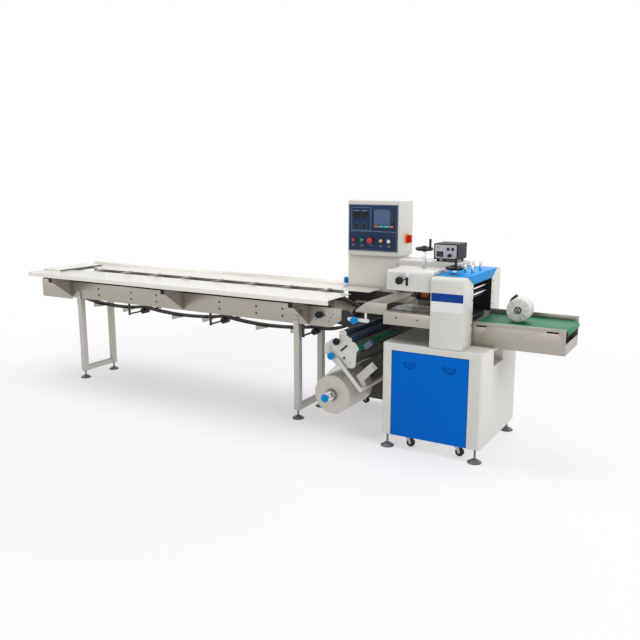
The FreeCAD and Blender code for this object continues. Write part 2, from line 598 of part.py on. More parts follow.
def infeed_table():
    """Front strip with a folded lip, bed with its back fence, and the tail cover over the slot."""
    near, far = slot_rows()
    z0 = TABLE_TOP - TABLE_SHEET
    lip_z = TUBE_Z0 + TUBE
    near, far = near + CHANNEL_T, far - CHANNEL_T
    strip = box(TABLE_X0, TABLE_X1, TABLE_FRONT_Y, near, z0, TABLE_TOP)
    lip = box(TABLE_X0, TABLE_X1, TABLE_FRONT_Y, TABLE_FRONT_Y + TABLE_SHEET, lip_z, TABLE_TOP)
    strip = fuse(strip, lip)
    strip = strip.makeFillet(2.0, edge_along_x(strip, TABLE_FRONT_Y, TABLE_TOP))
    back = TABLE_BACK_Y
    wide = box(TABLE_X0, BED_NARROW_X, far, back, z0, TABLE_TOP)
    narrow = box(BED_NARROW_X - 1, BED_X1, far, BED_NARROW_Y, z0, TABLE_TOP)
    fence = box(TABLE_X0, BED_NARROW_X, back - TABLE_SHEET, back, z0, TABLE_TOP + FENCE_H)
    fold = box(TABLE_X0, BED_NARROW_X, back - TABLE_SHEET, back, lip_z, TABLE_TOP)
    bed = fuse(wide, narrow, fence, fold)
    cover = box(TABLE_X0, TAIL_COVER_X1, near + 1, far - 1, z0 + 1, TABLE_TOP + 1)
    web = box(TABLE_X0 + 6, TAIL_COVER_X1 - 6, near - 40, far + 40, TABLE_TOP, TABLE_TOP + TABLE_SHEET)
    return Part.makeCompound([strip, bed, fuse(cover, web)])


def table_brackets():
    """Square cross tubes under the table, each with a folded gusset on the front side plate."""
    y0 = plate_rows()[0]
    pieces = []
    for joint in JOINT_XS:
        x1 = joint - 3
        tube = box(x1 - TUBE, x1, TABLE_FRONT_Y + 2, TABLE_BACK_Y - TABLE_SHEET, TUBE_Z0, TUBE_Z0 + TUBE)
        tube = tube.makeFillet(3.0, [e for e in tube.Edges if e.Length > 200])
        tip = TABLE_FRONT_Y + 8
        web = prism_yz([(tip, TUBE_Z0), (y0, TUBE_Z0), (y0, PLATE_BOTTOM + 6)], x1 - GUSSET_T, x1)
        flange = box(x1 - GUSSET_FLANGE, x1, y0 - GUSSET_T, y0, PLATE_BOTTOM + 6, TUBE_Z0)
        riser = box(x1 - TUBE, x1, y0, y0 + 10, PLATE_TOP, TUBE_Z0)
        back = plate_rows()[3]
        rear = box(x1 - TUBE, x1, back - 10, back, PLATE_TOP, TUBE_Z0)
        pieces.append(fuse(tube, web, flange, riser, rear))
    return Part.makeCompound(pieces)


def chain_channel():
    """Open channel that the pusher chain slides in, between the two halves of the table."""
    near, far = slot_rows()
    z0 = TUBE_Z0 + TUBE
    outer = box(CHANNEL_X0, CHANNEL_X1, near, far, z0, TABLE_TOP - TABLE_SHEET)
    inner = box(CHANNEL_X0 - 1, CHANNEL_X1 + 1, near + CHANNEL_T, far - CHANNEL_T,
                z0 + CHANNEL_T, TABLE_TOP)
    return outer.cut(inner)


def chain_top_z():
    return TUBE_Z0 + TUBE + CHANNEL_T + CHAIN_RUN_GAP + CHAIN_T / 2


def sprocket_z():
    return chain_top_z() - SPROCKET_R - CHAIN_T / 2


def hanging(x, xa, za, xb, zb, sag):
    """Height of a hanging stretch between two supports, as a parabola."""
    t = (x - xa) / (xb - xa)
    return za + (zb - za) * t - 4 * sag * t * (1 - t)


def chain_path():
    """Centre line of the chain loop: top run, slope to the drive, sagging return, tail wrap."""
    r_tail, r_drive = SPROCKET_R + CHAIN_T / 2, DRIVE_R + CHAIN_T / 2
    top, z_tail = chain_top_z(), sprocket_z()
    dx, dz = DRIVE_X - SLOPE_X, DRIVE_Z - top
    slope = -math.degrees(math.atan2(dz, dx)) - math.degrees(math.asin(r_drive / math.hypot(dx, dz)))
    turns = [slope + (180 - slope) * i / 9 for i in range(10)]
    points = [(TAIL_SPROCKET_X, top), (SLOPE_X, top)]
    points += [(DRIVE_X + r_drive * math.sin(math.radians(a)),
                DRIVE_Z + r_drive * math.cos(math.radians(a))) for a in turns]
    supports = return_supports()
    for (xa, za, _), (xb, zb, sag) in zip(supports, supports[1:]):
        points += [(x, hanging(x, xa, za, xb, zb, sag))
                   for x in (xa + (xb - xa) * i / CHAIN_STEPS for i in range(1, CHAIN_STEPS + 1))]
    points += [(TAIL_SPROCKET_X - r_tail * math.sin(math.radians(a)),
                z_tail - r_tail * math.cos(math.radians(a))) for a in range(18, 180, 18)]
    return points


def return_supports():
    """Where the return run is carried, from the drive to the tail, and the dip before each."""
    drive = (DRIVE_X, DRIVE_Z - DRIVE_R - CHAIN_T / 2, 0)
    tail = (TAIL_SPROCKET_X, sprocket_z() - SPROCKET_R - CHAIN_T / 2, CHAIN_SAG * 1.6)
    return [drive] + [(x, RETURN_Z, CHAIN_SAG) for x in reversed(RETURN_XS)] + [tail]


def offset_loop(points, d):
    """Move a closed loop sideways by d along its corner bisectors."""
    moved = []
    n = len(points)
    for i, (x, z) in enumerate(points):
        (xa, za), (xb, zb) = points[i - 1], points[(i + 1) % n]
        ax, az = x - xa, z - za
        bx, bz = xb - x, zb - z
        la, lb = math.hypot(ax, az), math.hypot(bx, bz)
        nx, nz = -(az / la + bz / lb), (ax / la + bx / lb)
        ln = math.hypot(nx, nz)
        moved.append((x + d * nx / ln, z + d * nz / ln))
    return moved


def infeed_chain():
    path = chain_path()
    y0, y1 = CENTRE_Y - CHAIN_W / 2, CENTRE_Y + CHAIN_W / 2
    outer = prism_xz(offset_loop(path, CHAIN_T / 2), y0, y1)
    inner = prism_xz(offset_loop(path, -CHAIN_T / 2), y0 - 1, y1 + 1)
    return outer.cut(inner)


def pusher(x, z, turn, length):
    """Wedge with its tall face forward, standing on the chain's outer side at x, z."""
    h, half = CHAIN_T / 2, length / 2
    outline = [(-half, h), (half, h), (half, h + PUSHER_H), (half - PUSHER_T, h + PUSHER_H),
               (-half, h + PUSHER_T)]
    wedge = prism_xz(outline, CENTRE_Y - PUSHER_W / 2, CENTRE_Y + PUSHER_W / 2)
    wedge.rotate(V(0, 0, 0), V(0, 1, 0), -turn)
    wedge.translate(V(x, 0, z))
    return wedge


def pushers():
    """Pushers at one pitch along the top run, and hanging from the middles of the return run."""
    pieces = []
    x = CHANNEL_X0 + PUSHER_L
    while x < CHANNEL_X1 - PUSHER_L:
        pieces.append(pusher(x, chain_top_z(), 0, PUSHER_L))
        x += PUSHER_PITCH
    supports = return_supports()
    for (xa, za, _), (xb, zb, sag) in zip(supports[1:], supports[2:]):
        last = None
        for i in range(CHAIN_STEPS):
            x0, x1 = (xa + (xb - xa) * k / CHAIN_STEPS for k in (i, i + 1))
            z0, z1 = (hanging(x, xa, za, xb, zb, sag) for x in (x0, x1))
            mid = (x0 + x1) / 2
            spaced = last is None or abs(mid - last) > PUSHER_PITCH * 0.8
            if min(abs(mid - xa), abs(mid - xb)) > RETURN_CLEAR and spaced:
                tilt = math.degrees(math.atan2(z0 - z1, x0 - x1))
                length = min(PUSHER_L, 0.95 * abs(x1 - x0))
                pieces.append(pusher(mid, (z0 + z1) / 2, tilt + 180, length))
                last = mid
    return Part.makeCompound(pieces)


def sprocket(x, z, r):
    """Chain wheel on its through shaft between the side plates."""
    _, b, c, _ = plate_rows()
    wheel = rod_y(x, z, CENTRE_Y - SPROCKET_T / 2, CENTRE_Y + SPROCKET_T / 2, r - 2)
    return fuse(wheel, rod_y(x, z, b, c, SHAFT_R))


def nose_cheeks():
    """Dark bearing cheeks that carry the drive past the nose of the side plates."""
    _, b, c, _ = plate_rows()
    cheeks = []
    for y0 in (b, c - CHEEK_T):
        y1 = y0 + CHEEK_T
        bar = prism_xz([(CHEEK_X0, DRIVE_Z - CHEEK_R + 12), (DRIVE_X, DRIVE_Z - CHEEK_R),
                        (DRIVE_X, DRIVE_Z + CHEEK_R), (CHEEK_X0, DRIVE_Z + CHEEK_R - 12)], y0, y1)
        cheek = fuse(bar, rod_y(DRIVE_X, DRIVE_Z, y0, y1, CHEEK_R))
        cheeks.append(cheek.cut(rod_y(DRIVE_X, DRIVE_Z, y0 - 1, y1 + 1, SHAFT_R)))
    return Part.makeCompound(cheeks)


def edge_rails():
    """Black angle along the inside of each side plate, showing above its top edge."""
    _, b, c, _ = plate_rows()
    rails = []
    for wall, step in ((b, 1), (c, -1)):
        inner = wall + step * RAIL_IN
        y0, y1 = sorted((wall, inner))
        u0, u1 = sorted((inner, inner - step * RAIL_T))
        foot = box(TAIL_X + SHEET, CHEEK_X0 - 10, y0, y1, RAIL_Z0, RAIL_Z0 + RAIL_T)
        upright = box(TAIL_X + SHEET, CHEEK_X0 - 10, u0, u1, RAIL_Z0, TUBE_Z0 - 1)
        rails.append(fuse(foot, upright))
    return Part.makeCompound(rails)


def return_roller(x):
    """Roller below the return run on an axle between two hangers."""
    a, b, c, d = plate_rows()
    z = RETURN_Z - CHAIN_T / 2 - RETURN_ROLLER_R - 0.5
    roller = rod_y(x, z, CENTRE_Y - CHAIN_W, CENTRE_Y + CHAIN_W, RETURN_ROLLER_R)
    axle = rod_y(x, z, b, c, 6.0)
    hangers = [box(x - 10, x + 10, y0, y0 + 4, z - 10, PLATE_BOTTOM + 20) for y0 in (b, c - 4)]
    return fuse(roller, axle, *hangers)


def conveyor_rollers():
    wheels = [sprocket(DRIVE_X, DRIVE_Z, DRIVE_R), sprocket(TAIL_SPROCKET_X, sprocket_z(), SPROCKET_R)]
    wheels += [return_roller(x) for x in RETURN_XS]
    y0, y1 = CENTRE_Y - OUT_HALF + SHEET, CENTRE_Y + OUT_HALF - SHEET
    for x in (BELT_X0, BELT_X1):
        core = rod_y(x, BELT_AXIS_Z, CENTRE_Y - BELT_HALF, CENTRE_Y + BELT_HALF, PULLEY_R)
        wheels.append(fuse(core, rod_y(x, BELT_AXIS_Z, y0, y1, 8.0)))
    return Part.makeCompound(wheels)


def leg_frame(x):
    """Two square legs with a low cross bar and a rounded tab bolted over each side plate."""
    a, b, c, d = plate_rows()
    x0, x1 = x - LEG / 2, x + LEG / 2
    tab_top = PLATE_BOTTOM + LEG_TAB_RISE - LEG / 2
    legs = [box(x0, x1, a, a + LEG, LEG_Z0, PLATE_BOTTOM), box(x0, x1, d - LEG, d, LEG_Z0, PLATE_BOTTOM)]
    for y0, y1 in ((a - LEG_TAB_T, a), (d, d + LEG_TAB_T)):
        legs.append(box(x0, x1, y0, y1, PLATE_BOTTOM - 60, tab_top))
        legs.append(rod_y(x, tab_top, y0, y1, LEG / 2))
    bar = box(x0 + 3, x1 - 3, a + LEG - 1, d - LEG + 1, LEG_Z0, LEG_Z0 + LEG_BAR_H)
    return fuse(bar, *legs)


def infeed_leg_frames():
    return Part.makeCompound([leg_frame(x) for x in LEG_XS])


# ---------------------------------------------------------------- rear frame and control box
def rear_frame():
    """Welded frame beside the cabinet, rising into the column that carries the control box."""
    x1 = FRAME_X0 + COLUMN_W
    outline = [(FRAME_X0, CAB_Z0), (0, CAB_Z0), (0, FRAME_TOP), (x1, FRAME_TOP), (x1, BOX_Z0),
               (FRAME_X0, BOX_Z0)]
    body = prism_xz(outline, FRAME_Y0, FRAME_Y0 + FRAME_D)
    for x, z in film_bores():
        body = body.cut(rod_y(x, z[0], FRAME_Y0 - 1, FRAME_Y0 + 2 * BORE_DEPTH + 1, z[1] + RUN))
    return body


def film_bores():
    """Axis and radius of every shaft that turns in the rear frame's face."""
    rollers = [(r[0], (r[1], ROLLER_SHAFT_R)) for r in (PRESS_ROLLER, RUBBER_ROLLER, GREEN_ROLLER,
                                                       GUIDE_ROLLER)]
    return rollers + [(ROLL_X, (ROLL_Z, FILM_SHAFT_R)), (ARM_PIVOT_X, (ARM_PIVOT_Z, ARM_SHAFT_R))]


def control_box():
    body = box(BOX_X0, BOX_X0 + BOX_W, BOX_Y0, BOX_Y0 + BOX_D, BOX_Z0, BOX_Z0 + BOX_H)
    body = body.makeFillet(BOX_R, [e for e in body.Edges])
    pin = rod_x(SWITCH_Y, SWITCH_Z, BOX_X0 + BOX_W - 12, BOX_X0 + BOX_W + 1, SWITCH_PIN_R + RUN)
    return body.cut(pin)


def control_panel():
    """Face plate with a raised screen, two temperature displays and their small dials."""
    y1 = BOX_Y0
    plate = box(BOX_X0 + FACE_IN_X, BOX_X0 + BOX_W - FACE_IN_X, y1 - FACE_T, y1,
                BOX_Z0 + FACE_IN_Z, BOX_Z0 + BOX_H - FACE_IN_Z + 2)
    screen = box(SCREEN_X0, SCREEN_X0 + SCREEN_W, y1 - FACE_T - SCREEN_T, y1 - FACE_T,
                 SCREEN_Z0, SCREEN_Z0 + SCREEN_H)
    plate = plate.fuse(screen)
    for x in GAUGE_XS:
        plate = plate.fuse(box(x - GAUGE / 2, x + GAUGE / 2, y1 - FACE_T - SCREEN_T, y1 - FACE_T,
                               GAUGE_Z - GAUGE / 2, GAUGE_Z + GAUGE / 2))
    return plate.removeSplitter()


def panel_controls():
    """Push buttons, selector, stop button and the two dials under the displays."""
    y1 = BOX_Y0 - FACE_T
    pieces = [rod_y(x, BUTTON_Z, y1 - BUTTON_H, y1, BUTTON_R) for x in BUTTON_XS]
    pieces += [rod_y(x, DIAL_Z, y1 - BUTTON_H, y1, DIAL_R) for x in GAUGE_XS]
    stop = fuse(rod_y(STOP_X, BUTTON_Z, y1 - STOP_H, y1, BUTTON_R),
                rod_y(STOP_X, BUTTON_Z, y1 - STOP_H, y1 - STOP_H + 12, STOP_R))
    return Part.makeCompound(pieces + [stop])


def main_switch_plate():
    h = SWITCH_PLATE / 2
    x0 = BOX_X0 + BOX_W
    plate = box(x0, x0 + SWITCH_PLATE_T, SWITCH_Y - h, SWITCH_Y + h, SWITCH_Z - h, SWITCH_Z + h)
    plate = plate.makeFillet(4.0, [e for e in plate.Edges if abs(e.Length - SWITCH_PLATE_T) < 0.01])
    return plate.cut(rod_x(SWITCH_Y, SWITCH_Z, x0 - 1, x0 + SWITCH_PLATE_T + 1, SWITCH_PIN_R + RUN))


def main_switch_knob():
    """Rotary switch grip on a pin through its plate into the box."""
    x0 = BOX_X0 + BOX_W
    x1 = x0 + SWITCH_PLATE_T + SWITCH_AIR
    pin = rod_x(SWITCH_Y, SWITCH_Z, x0 - 10, x1 + 1, SWITCH_PIN_R)
    disc = rod_x(SWITCH_Y, SWITCH_Z, x1, x1 + SWITCH_H, SWITCH_R)
    grip = box(x1 + SWITCH_H - 1, x1 + SWITCH_H + SWITCH_GRIP_H, SWITCH_Y - SWITCH_GRIP_W / 2,
               SWITCH_Y + SWITCH_GRIP_W / 2, SWITCH_Z - SWITCH_R + 1, SWITCH_Z + SWITCH_R - 1)
    return fuse(pin, disc, grip)


def display_box():
    """Instrument box on four feet on top of the rear housing."""
    x0, y0, z0 = DISPLAY_X0, HOUSING_Y0 + 2, HOUSING_TOP + DISPLAY_FOOT
    body = box(x0, x0 + DISPLAY_W, y0, y0 + DISPLAY_D, z0, z0 + DISPLAY_H)
    body = body.makeFillet(3.0, [e for e in body.Edges])
    for dx in (20, DISPLAY_W - 20):
        for dy in (24, DISPLAY_D - 24):
            body = body.fuse(rod_z(x0 + dx, y0 + dy, HOUSING_TOP, z0 + 1, 9.0))
    return body.removeSplitter()


# ---------------------------------------------------------------- handwheels
def handwheel(place, grip_angle):
    """Dished wheel with a rounded rim and an upright grip, on a spindle that turns in its sleeve."""
    x, y, z = place
    z0, z1 = z + 2, z + 2 + 2 * HAND_RIM
    web = z + 2 + HAND_RIM
    profile = [(0, z), (HAND_HUB_R, z), (HAND_HUB_R, web), (HAND_R - 2 * HAND_RIM, web),
               (HAND_R - 1.6 * HAND_RIM, z0 + 2), (HAND_R - HAND_RIM, z0), (HAND_R - 2, z0 + 3),
               (HAND_R, web), (HAND_R - 2, z1 - 3), (HAND_R - HAND_RIM, z1),
               (HAND_R - 1.6 * HAND_RIM, z1 - 2), (HAND_R - 2 * HAND_RIM, web + HAND_WEB_T),
               (HAND_HUB_R, web + HAND_WEB_T), (HAND_HUB_R, z + HAND_HUB_H), (0, z + HAND_HUB_H)]
    wheel = revolve_z(profile, x, y)
    for i in range(3):
        a = math.radians(grip_angle + 60 + 120 * i)
        r = (HAND_HUB_R + HAND_R - 2 * HAND_RIM) / 2
        hole = rod_z(x + r * math.cos(a), y + r * math.sin(a), z, z1 + 5, HAND_HOLE_R)
        wheel = wheel.cut(hole)
    a = math.radians(grip_angle)
    reach = HAND_R - HAND_RIM
    grip = rod_z(x + reach * math.cos(a), y + reach * math.sin(a), z1 - 3, z1 + GRIP_H, GRIP_R)
    spindle = rod_z(x, y, z - BORE_DEPTH + 3, z + 1, SPINDLE_R)
    return fuse(wheel, grip, spindle)


# ---------------------------------------------------------------- film unwinder
def film_shaft():
    """Shaft from the rear frame through the roll, with the chuck, its rim and the end knob."""
    shaft = rod_y(ROLL_X, ROLL_Z, SHAFT_NOSE_Y, FRAME_Y0 + 2 * BORE_DEPTH, FILM_SHAFT_R)
    chuck = rod_y(ROLL_X, ROLL_Z, ROLL_Y0 - CHUCK_H, ROLL_Y0 + ROLL_L, CHUCK_R)
    rim = rod_y(ROLL_X, ROLL_Z, ROLL_Y0 + ROLL_L + 1, ROLL_Y0 + ROLL_L + 13, CHUCK_RIM)
    chuck = chuck.fuse(rod_y(ROLL_X, ROLL_Z, ROLL_Y0 + ROLL_L - 2, ROLL_Y0 + ROLL_L + 2, CHUCK_R))
    body = fuse(shaft, chuck, rim)
    for i in range(3):
        a = math.radians(90 + 120 * i)
        key = box(-4, 4, ROLL_Y0 - CHUCK_H - 1, ROLL_Y0 - 4, CHUCK_R - 8, CHUCK_R + 2)
        key.rotate(V(0, 0, 0), V(0, 1, 0), math.degrees(a))
        key.translate(V(ROLL_X, 0, ROLL_Z))
        body = body.cut(key)
    return body


def film_roll():
    roll = rod_y(ROLL_X, ROLL_Z, ROLL_Y0, ROLL_Y0 + ROLL_L, ROLL_R)
    return roll.cut(rod_y(ROLL_X, ROLL_Z, ROLL_Y0 - 1, ROLL_Y0 + ROLL_L + 1, CORE_R))


def roll_core():
    """Cardboard core between the chuck and the film."""
    core = rod_y(ROLL_X, ROLL_Z, ROLL_Y0 - CORE_LIP, ROLL_Y0 + ROLL_L, CORE_R)
    return core.cut(rod_y(ROLL_X, ROLL_Z, ROLL_Y0 - CORE_LIP - 1, ROLL_Y0 + ROLL_L + 1, CHUCK_R))


def feed_plate():
    """Eight-sided front plate of the film feed rollers, with its slotted adjuster."""
    px, pz, pr = PRESS_ROLLER
    outline = [(-420, 512), (-420, 562), (-365, 605), (-215, 600), (-195, 582), (-205, 448),
               (-222, 435), (-326, 435)]
    y0, y1 = FEED_Y0, FEED_Y0 + FEED_T
    plate = prism_xz(outline, y0, y1)
    plate = plate.makeFillet(9.0, [e for e in plate.Edges if abs(e.Length - FEED_T) < 0.01])
    ear = box(px - pr - 2, px + pr + 2, y0, y1, 590, pz)
    lobes = [rod_y(px, pz, y0, y1, pr + 2)]
    lobes += [rod_y(x, z, y0, y1, r - 2) for x, z, r in (RUBBER_ROLLER, GREEN_ROLLER)]
    plate = fuse(plate, ear, *lobes)
    for x, z, _ in (PRESS_ROLLER, RUBBER_ROLLER, GREEN_ROLLER, GUIDE_ROLLER):
        plate = plate.cut(rod_y(x, z, y0 - 1, y1 + 1, ROLLER_SHAFT_R + RUN))
    slot = slot_xz(0, 0, 62, 11, y0 - 1, y1 + 1)
    slot.rotate(V(0, 0, 0), V(0, 1, 0), -42)
    slot.translate(V(-282, 0, 556))
    return plate.cut(slot)


def feed_roller(place):
    """Roller drum on a shaft from the feed plate to the rear frame."""
    x, z, r = place
    shaft = rod_y(x, z, FEED_Y0 - 2, FRAME_Y0 + 2 * BORE_DEPTH, ROLLER_SHAFT_R)
    drum = rod_y(x, z, FEED_Y0 + FEED_T + ROLLER_END_GAP, FRAME_Y0 - ROLLER_END_GAP, r)
    return fuse(shaft, drum)


def tension_arm():
    """V-shaped arm on a pivot shaft: a long bar in front of the feed plate and a cross plate."""
    px, pz = ARM_PIVOT_X, ARM_PIVOT_Z
    y1 = FEED_Y0 - ARM_GAP
    dx, dz = ARM_TOP_X - px, ARM_TOP_Z - pz
    length = math.hypot(dx, dz)
    bar = fuse(box(0, length, y1 - ARM_T, y1, -ARM_W / 2, ARM_W / 2),
               rod_y(0, 0, y1 - ARM_T, y1, ARM_W / 2), rod_y(length, 0, y1 - ARM_T, y1, ARM_W / 2))
    bar.rotate(V(0, 0, 0), V(0, 1, 0), -math.degrees(math.atan2(dz, dx)))
    bar.translate(V(px, 0, pz))
    y2 = ARM_PLATE_Y
    plate = prism_xz([(px + a, pz + b) for a, b in ARM_PLATE], y2, y2 + ARM_T)
    shaft = rod_y(px, pz, y1 - ARM_T, FRAME_Y0 + 2 * BORE_DEPTH, ARM_SHAFT_R)
    sleeve = rod_y(px, pz, y1 - 1, FRAME_Y0 - ROLLER_END_GAP, ARM_SLEEVE_R)
    return fuse(bar, plate, shaft, sleeve)


# ---------------------------------------------------------------- knobs
def black_knobs():
    """Clamp knobs on the tail, infeed nose, hood and press roller ear."""
    front = plate_rows()[0]
    px, pz, pr = PRESS_ROLLER
    return Part.makeCompound([
        star_knob(TAIL_X, front + 60, (TAIL_BOTTOM + PLATE_TOP) / 2 + 10, V(-1, 0, 0)),
        star_knob(NOSE_KNOB_X, front, NOSE_KNOB_Z, V(0, -1, 0)),
        star_knob(HOOD_KNOB_X, HOOD_Y0, HOOD_SLOT_Z, V(0, -1, 0)),
        star_knob(px - pr - 10, FEED_Y0, pz - 2 * pr - 3, V(0, -1, 0)),
    ])


def shaft_knob():
    """Round knob screwed on the film shaft's end."""
    end = rod_y(ROLL_X, ROLL_Z, SHAFT_NOSE_Y - KNOB_DISC_T, SHAFT_NOSE_Y, KNOB_DISC_R)
    return end.makeFillet(3.0, [e for e in end.Edges if e.Length > 100])


def guide_knobs():
    """Blue knobs: on the feed plate, on the guide bar below the former, and on the fence."""
    y0 = FORMER_Y_IN
    under = FORMER_TOP_Z - FORMER_H
    bar = box(BAR_X0, BAR_X0 + BAR_L, y0, y0 + 6, BAR_Z0, BAR_Z0 + BAR_H)
    bar = bar.makeFillet(BAR_H / 2 - 1, [e for e in bar.Edges if abs(e.Length - 6) < 0.01])
    post = box(BAR_X0 + BAR_L - 30, BAR_X0 + BAR_L - 16, y0, y0 + SHEET, BAR_Z0 + BAR_H - 1, under)
    guide = fuse(star_knob(BAR_X0 + BAR_KNOB_IN, y0, BAR_Z0 + BAR_H / 2, V(0, -1, 0)), bar, post)
    return Part.makeCompound([star_knob(FILM_KNOB_X, FEED_Y0, FILM_KNOB_Z, V(0, -1, 0)), guide,
                              star_knob(FRAME_X0, FENCE_KNOB_Y, FENCE_KNOB_Z, V(-1, 0, 0))])


def sensor_head():
    """Sensor housing on a long rod from the rear frame."""
    half_w, half_h = SENSOR_W / 2, SENSOR_H / 2
    y1 = SENSOR_Y0 + SENSOR_D
    head = box(-half_w, half_w, SENSOR_Y0, y1, -half_h, half_h)
    head = head.makeFillet(3.0, [e for e in head.Edges])
    head.rotate(V(0, 0, 0), V(0, 1, 0), -SENSOR_TILT)
    head.translate(V(SENSOR_X, 0, SENSOR_Z))
    return fuse(head, rod_y(SENSOR_X, SENSOR_Z, y1 - 2, FRAME_Y0, SENSOR_ROD_R))


# ---------------------------------------------------------------- discharge conveyor
def discharge_plates():
    """Slotted side plates, bottom pan and the panel across the far end."""
    x0 = HEAD_X0 + HEAD_W
    front, back = CENTRE_Y - OUT_HALF, CENTRE_Y + OUT_HALF
    near = box(x0, OUT_X1, front, front + SHEET, CAB_TOP, OUT_TOP)
    near = near.makeFillet(2.0, edge_along_x(near, front, OUT_TOP))
    for x, z in OUT_SLOTS:
        near = near.cut(slot_xz(x, z, OUT_SLOT_L, OUT_SLOT_H, front - 1, front + SHEET + 1))
    far = box(x0, OUT_X1, back - SHEET, back, CAB_TOP, OUT_FENCE_TOP)
    for x, z in OUT_SLOTS:
        far = far.cut(slot_xz(x, z, OUT_SLOT_L, OUT_SLOT_H, back - SHEET - 1, back + 1))
    pan = box(x0, OUT_X1 - SHEET, front + SHEET, back - SHEET, CAB_TOP, CAB_TOP + SHEET)
    end = box(OUT_X1 - SHEET, OUT_X1, front + SHEET, back - SHEET, CAB_TOP, CAB_TOP + END_PANEL_H)
    return fuse(near, far, pan, end)


def discharge_belt():
    """Endless belt round the two end rollers."""
    def loop(r):
        bar = box(BELT_X0, BELT_X1, CENTRE_Y - BELT_HALF, CENTRE_Y + BELT_HALF,
                  BELT_AXIS_Z - r, BELT_AXIS_Z + r)
        ends = [rod_y(x, BELT_AXIS_Z, CENTRE_Y - BELT_HALF, CENTRE_Y + BELT_HALF, r)
                for x in (BELT_X0, BELT_X1)]
        return fuse(bar, *ends)
    inner = PULLEY_R + PULLEY_FIT
    return loop(inner + BELT_T).cut(loop(inner))


def brush_wheel():
    """Soft bristle drum on its hub and stub shaft."""
    drum = rod_y(BRUSH_X, BRUSH_Z, BRUSH_Y0, BRUSH_Y0 + BRUSH_L, BRUSH_R)
    hub = rod_y(BRUSH_X, BRUSH_Z, BRUSH_Y0 - 6, BRUSH_Y0 + BRUSH_L + 4, BRUSH_HUB_R)
    y1 = BRUSH_Y0 + BRUSH_L + BRUSH_ARM_AIR + BRUSH_ARM_T
    return fuse(drum, hub, rod_y(BRUSH_X, BRUSH_Z, BRUSH_Y0, y1, BRUSH_SHAFT_R))


def brush_arm():
    """Curved arm that carries the brush shaft, on a bar from the far side plate."""
    y0 = BRUSH_Y0 + BRUSH_L + BRUSH_ARM_AIR
    y1 = y0 + BRUSH_ARM_T
    outer, inner = 84.0, 68.0
    ring = rod_y(BRUSH_X, BRUSH_Z, y0, y1, outer).cut(rod_y(BRUSH_X, BRUSH_Z, y0 - 1, y1 + 1, inner))
    keep = prism_xz([(BRUSH_X, BRUSH_Z), (BRUSH_X - 60, BRUSH_Z + 120), (BRUSH_X - 160, BRUSH_Z),
                     (BRUSH_X - 120, BRUSH_Z - 60)], y0, y1)
    arc = ring.common(keep)
    spoke = box(BRUSH_X - outer + 4, BRUSH_X, y0, y1, BRUSH_Z - 9, BRUSH_Z + 9)
    boss = rod_y(BRUSH_X, BRUSH_Z, y0, y1, 16.0)
    far = CENTRE_Y + OUT_HALF - SHEET
    bar = box(BRUSH_X - outer + 2, BRUSH_X - inner - 2, y0, far, BRUSH_Z - 24, BRUSH_Z - 12)
    leg = box(BRUSH_X - outer + 2, BRUSH_X - inner - 2, far - 6, far, BELT_AXIS_Z + 30, BRUSH_Z - 12)
    arm = fuse(arc, spoke, boss, bar, leg)
    return arm.cut(rod_y(BRUSH_X, BRUSH_Z, y0 - 1, y1 + 1, BRUSH_SHAFT_R + RUN))


# ---------------------------------------------------------------- write the parts
def build():
    parts = {
        "base_cabinet": base_cabinet(),
        "front_panel": front_panel(),
        "levelling_feet": levelling_feet(),
        "caster_plates": caster_plates(),
        "blue_cover": blue_cover(),
        "upper_jaw": sealing_jaw(0),
        "lower_jaw": sealing_jaw(1),
        "chrome_rods": chrome_rods(),
        "hood": hood(),
        "rear_housing": rear_housing(),
        "forming_platform": forming_platform(),
        "fin_seal_unit": fin_seal_unit(),
        "seal_heaters": seal_heaters(),
        "infeed_side_plates": infeed_side_plates(),
        "infeed_table": infeed_table(),
        "table_brackets": table_brackets(),
        "chain_channel": chain_channel(),
        "infeed_chain": infeed_chain(),
        "pushers": pushers(),
        "conveyor_rollers": conveyor_rollers(),
        "infeed_leg_frames": infeed_leg_frames(),
        "rear_frame": rear_frame(),
        "control_box": control_box(),
        "control_panel": control_panel(),
        "panel_controls": panel_controls(),
        "main_switch_plate": main_switch_plate(),
        "main_switch_knob": main_switch_knob(),
        "display_box": display_box(),
        "handwheel_left": handwheel(HAND_LEFT, GRIP_ANGLE_LEFT),
        "handwheel_right": handwheel(HAND_RIGHT, GRIP_ANGLE_RIGHT),
        "film_shaft": film_shaft(),
        "film_roll": film_roll(),
        "roll_core": roll_core(),
        "feed_plate": feed_plate(),
        "press_roller": feed_roller(PRESS_ROLLER),
        "rubber_roller": feed_roller(RUBBER_ROLLER),
        "green_roller": feed_roller(GREEN_ROLLER),
        "guide_roller": feed_roller(GUIDE_ROLLER),
        "tension_arm": tension_arm(),
        "black_knobs": black_knobs(),
        "shaft_knob": shaft_knob(),
        "guide_knobs": guide_knobs(),
        "sensor_head": sensor_head(),
        "nose_cheeks": nose_cheeks(),
        "edge_rails": edge_rails(),
        "discharge_plates": discharge_plates(),
        "discharge_belt": discharge_belt(),
        "brush_wheel": brush_wheel(),
        "brush_arm": brush_arm(),
    }
    parts["head_front_column"], parts["head_rear_column"] = head_columns()
    for i, (x, y) in enumerate(caster_places(), 1):
        parts[f"caster_fork_{i}"] = caster_fork(x, y)
        parts[f"caster_wheel_{i}"] = caster_wheel(x, y)
    return parts


if __name__ == "__main__":
    os.makedirs("parts", exist_ok=True)
    for name, shape in build().items():
        placed = shape.copy()
        placed.translate(SHIFT)
        placed.exportStep(f"parts/{name}.step")
        if not shape.isValid():
            print("not valid:", name)
    print("parts written, shift", round(SHIFT.x, 2), round(SHIFT.y, 2))
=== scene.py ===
"""Visual model of a horizontal flow wrapper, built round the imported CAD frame. Sizes in metres."""
import json
import math

import bmesh
import bpy
from mathutils import Matrix, Vector


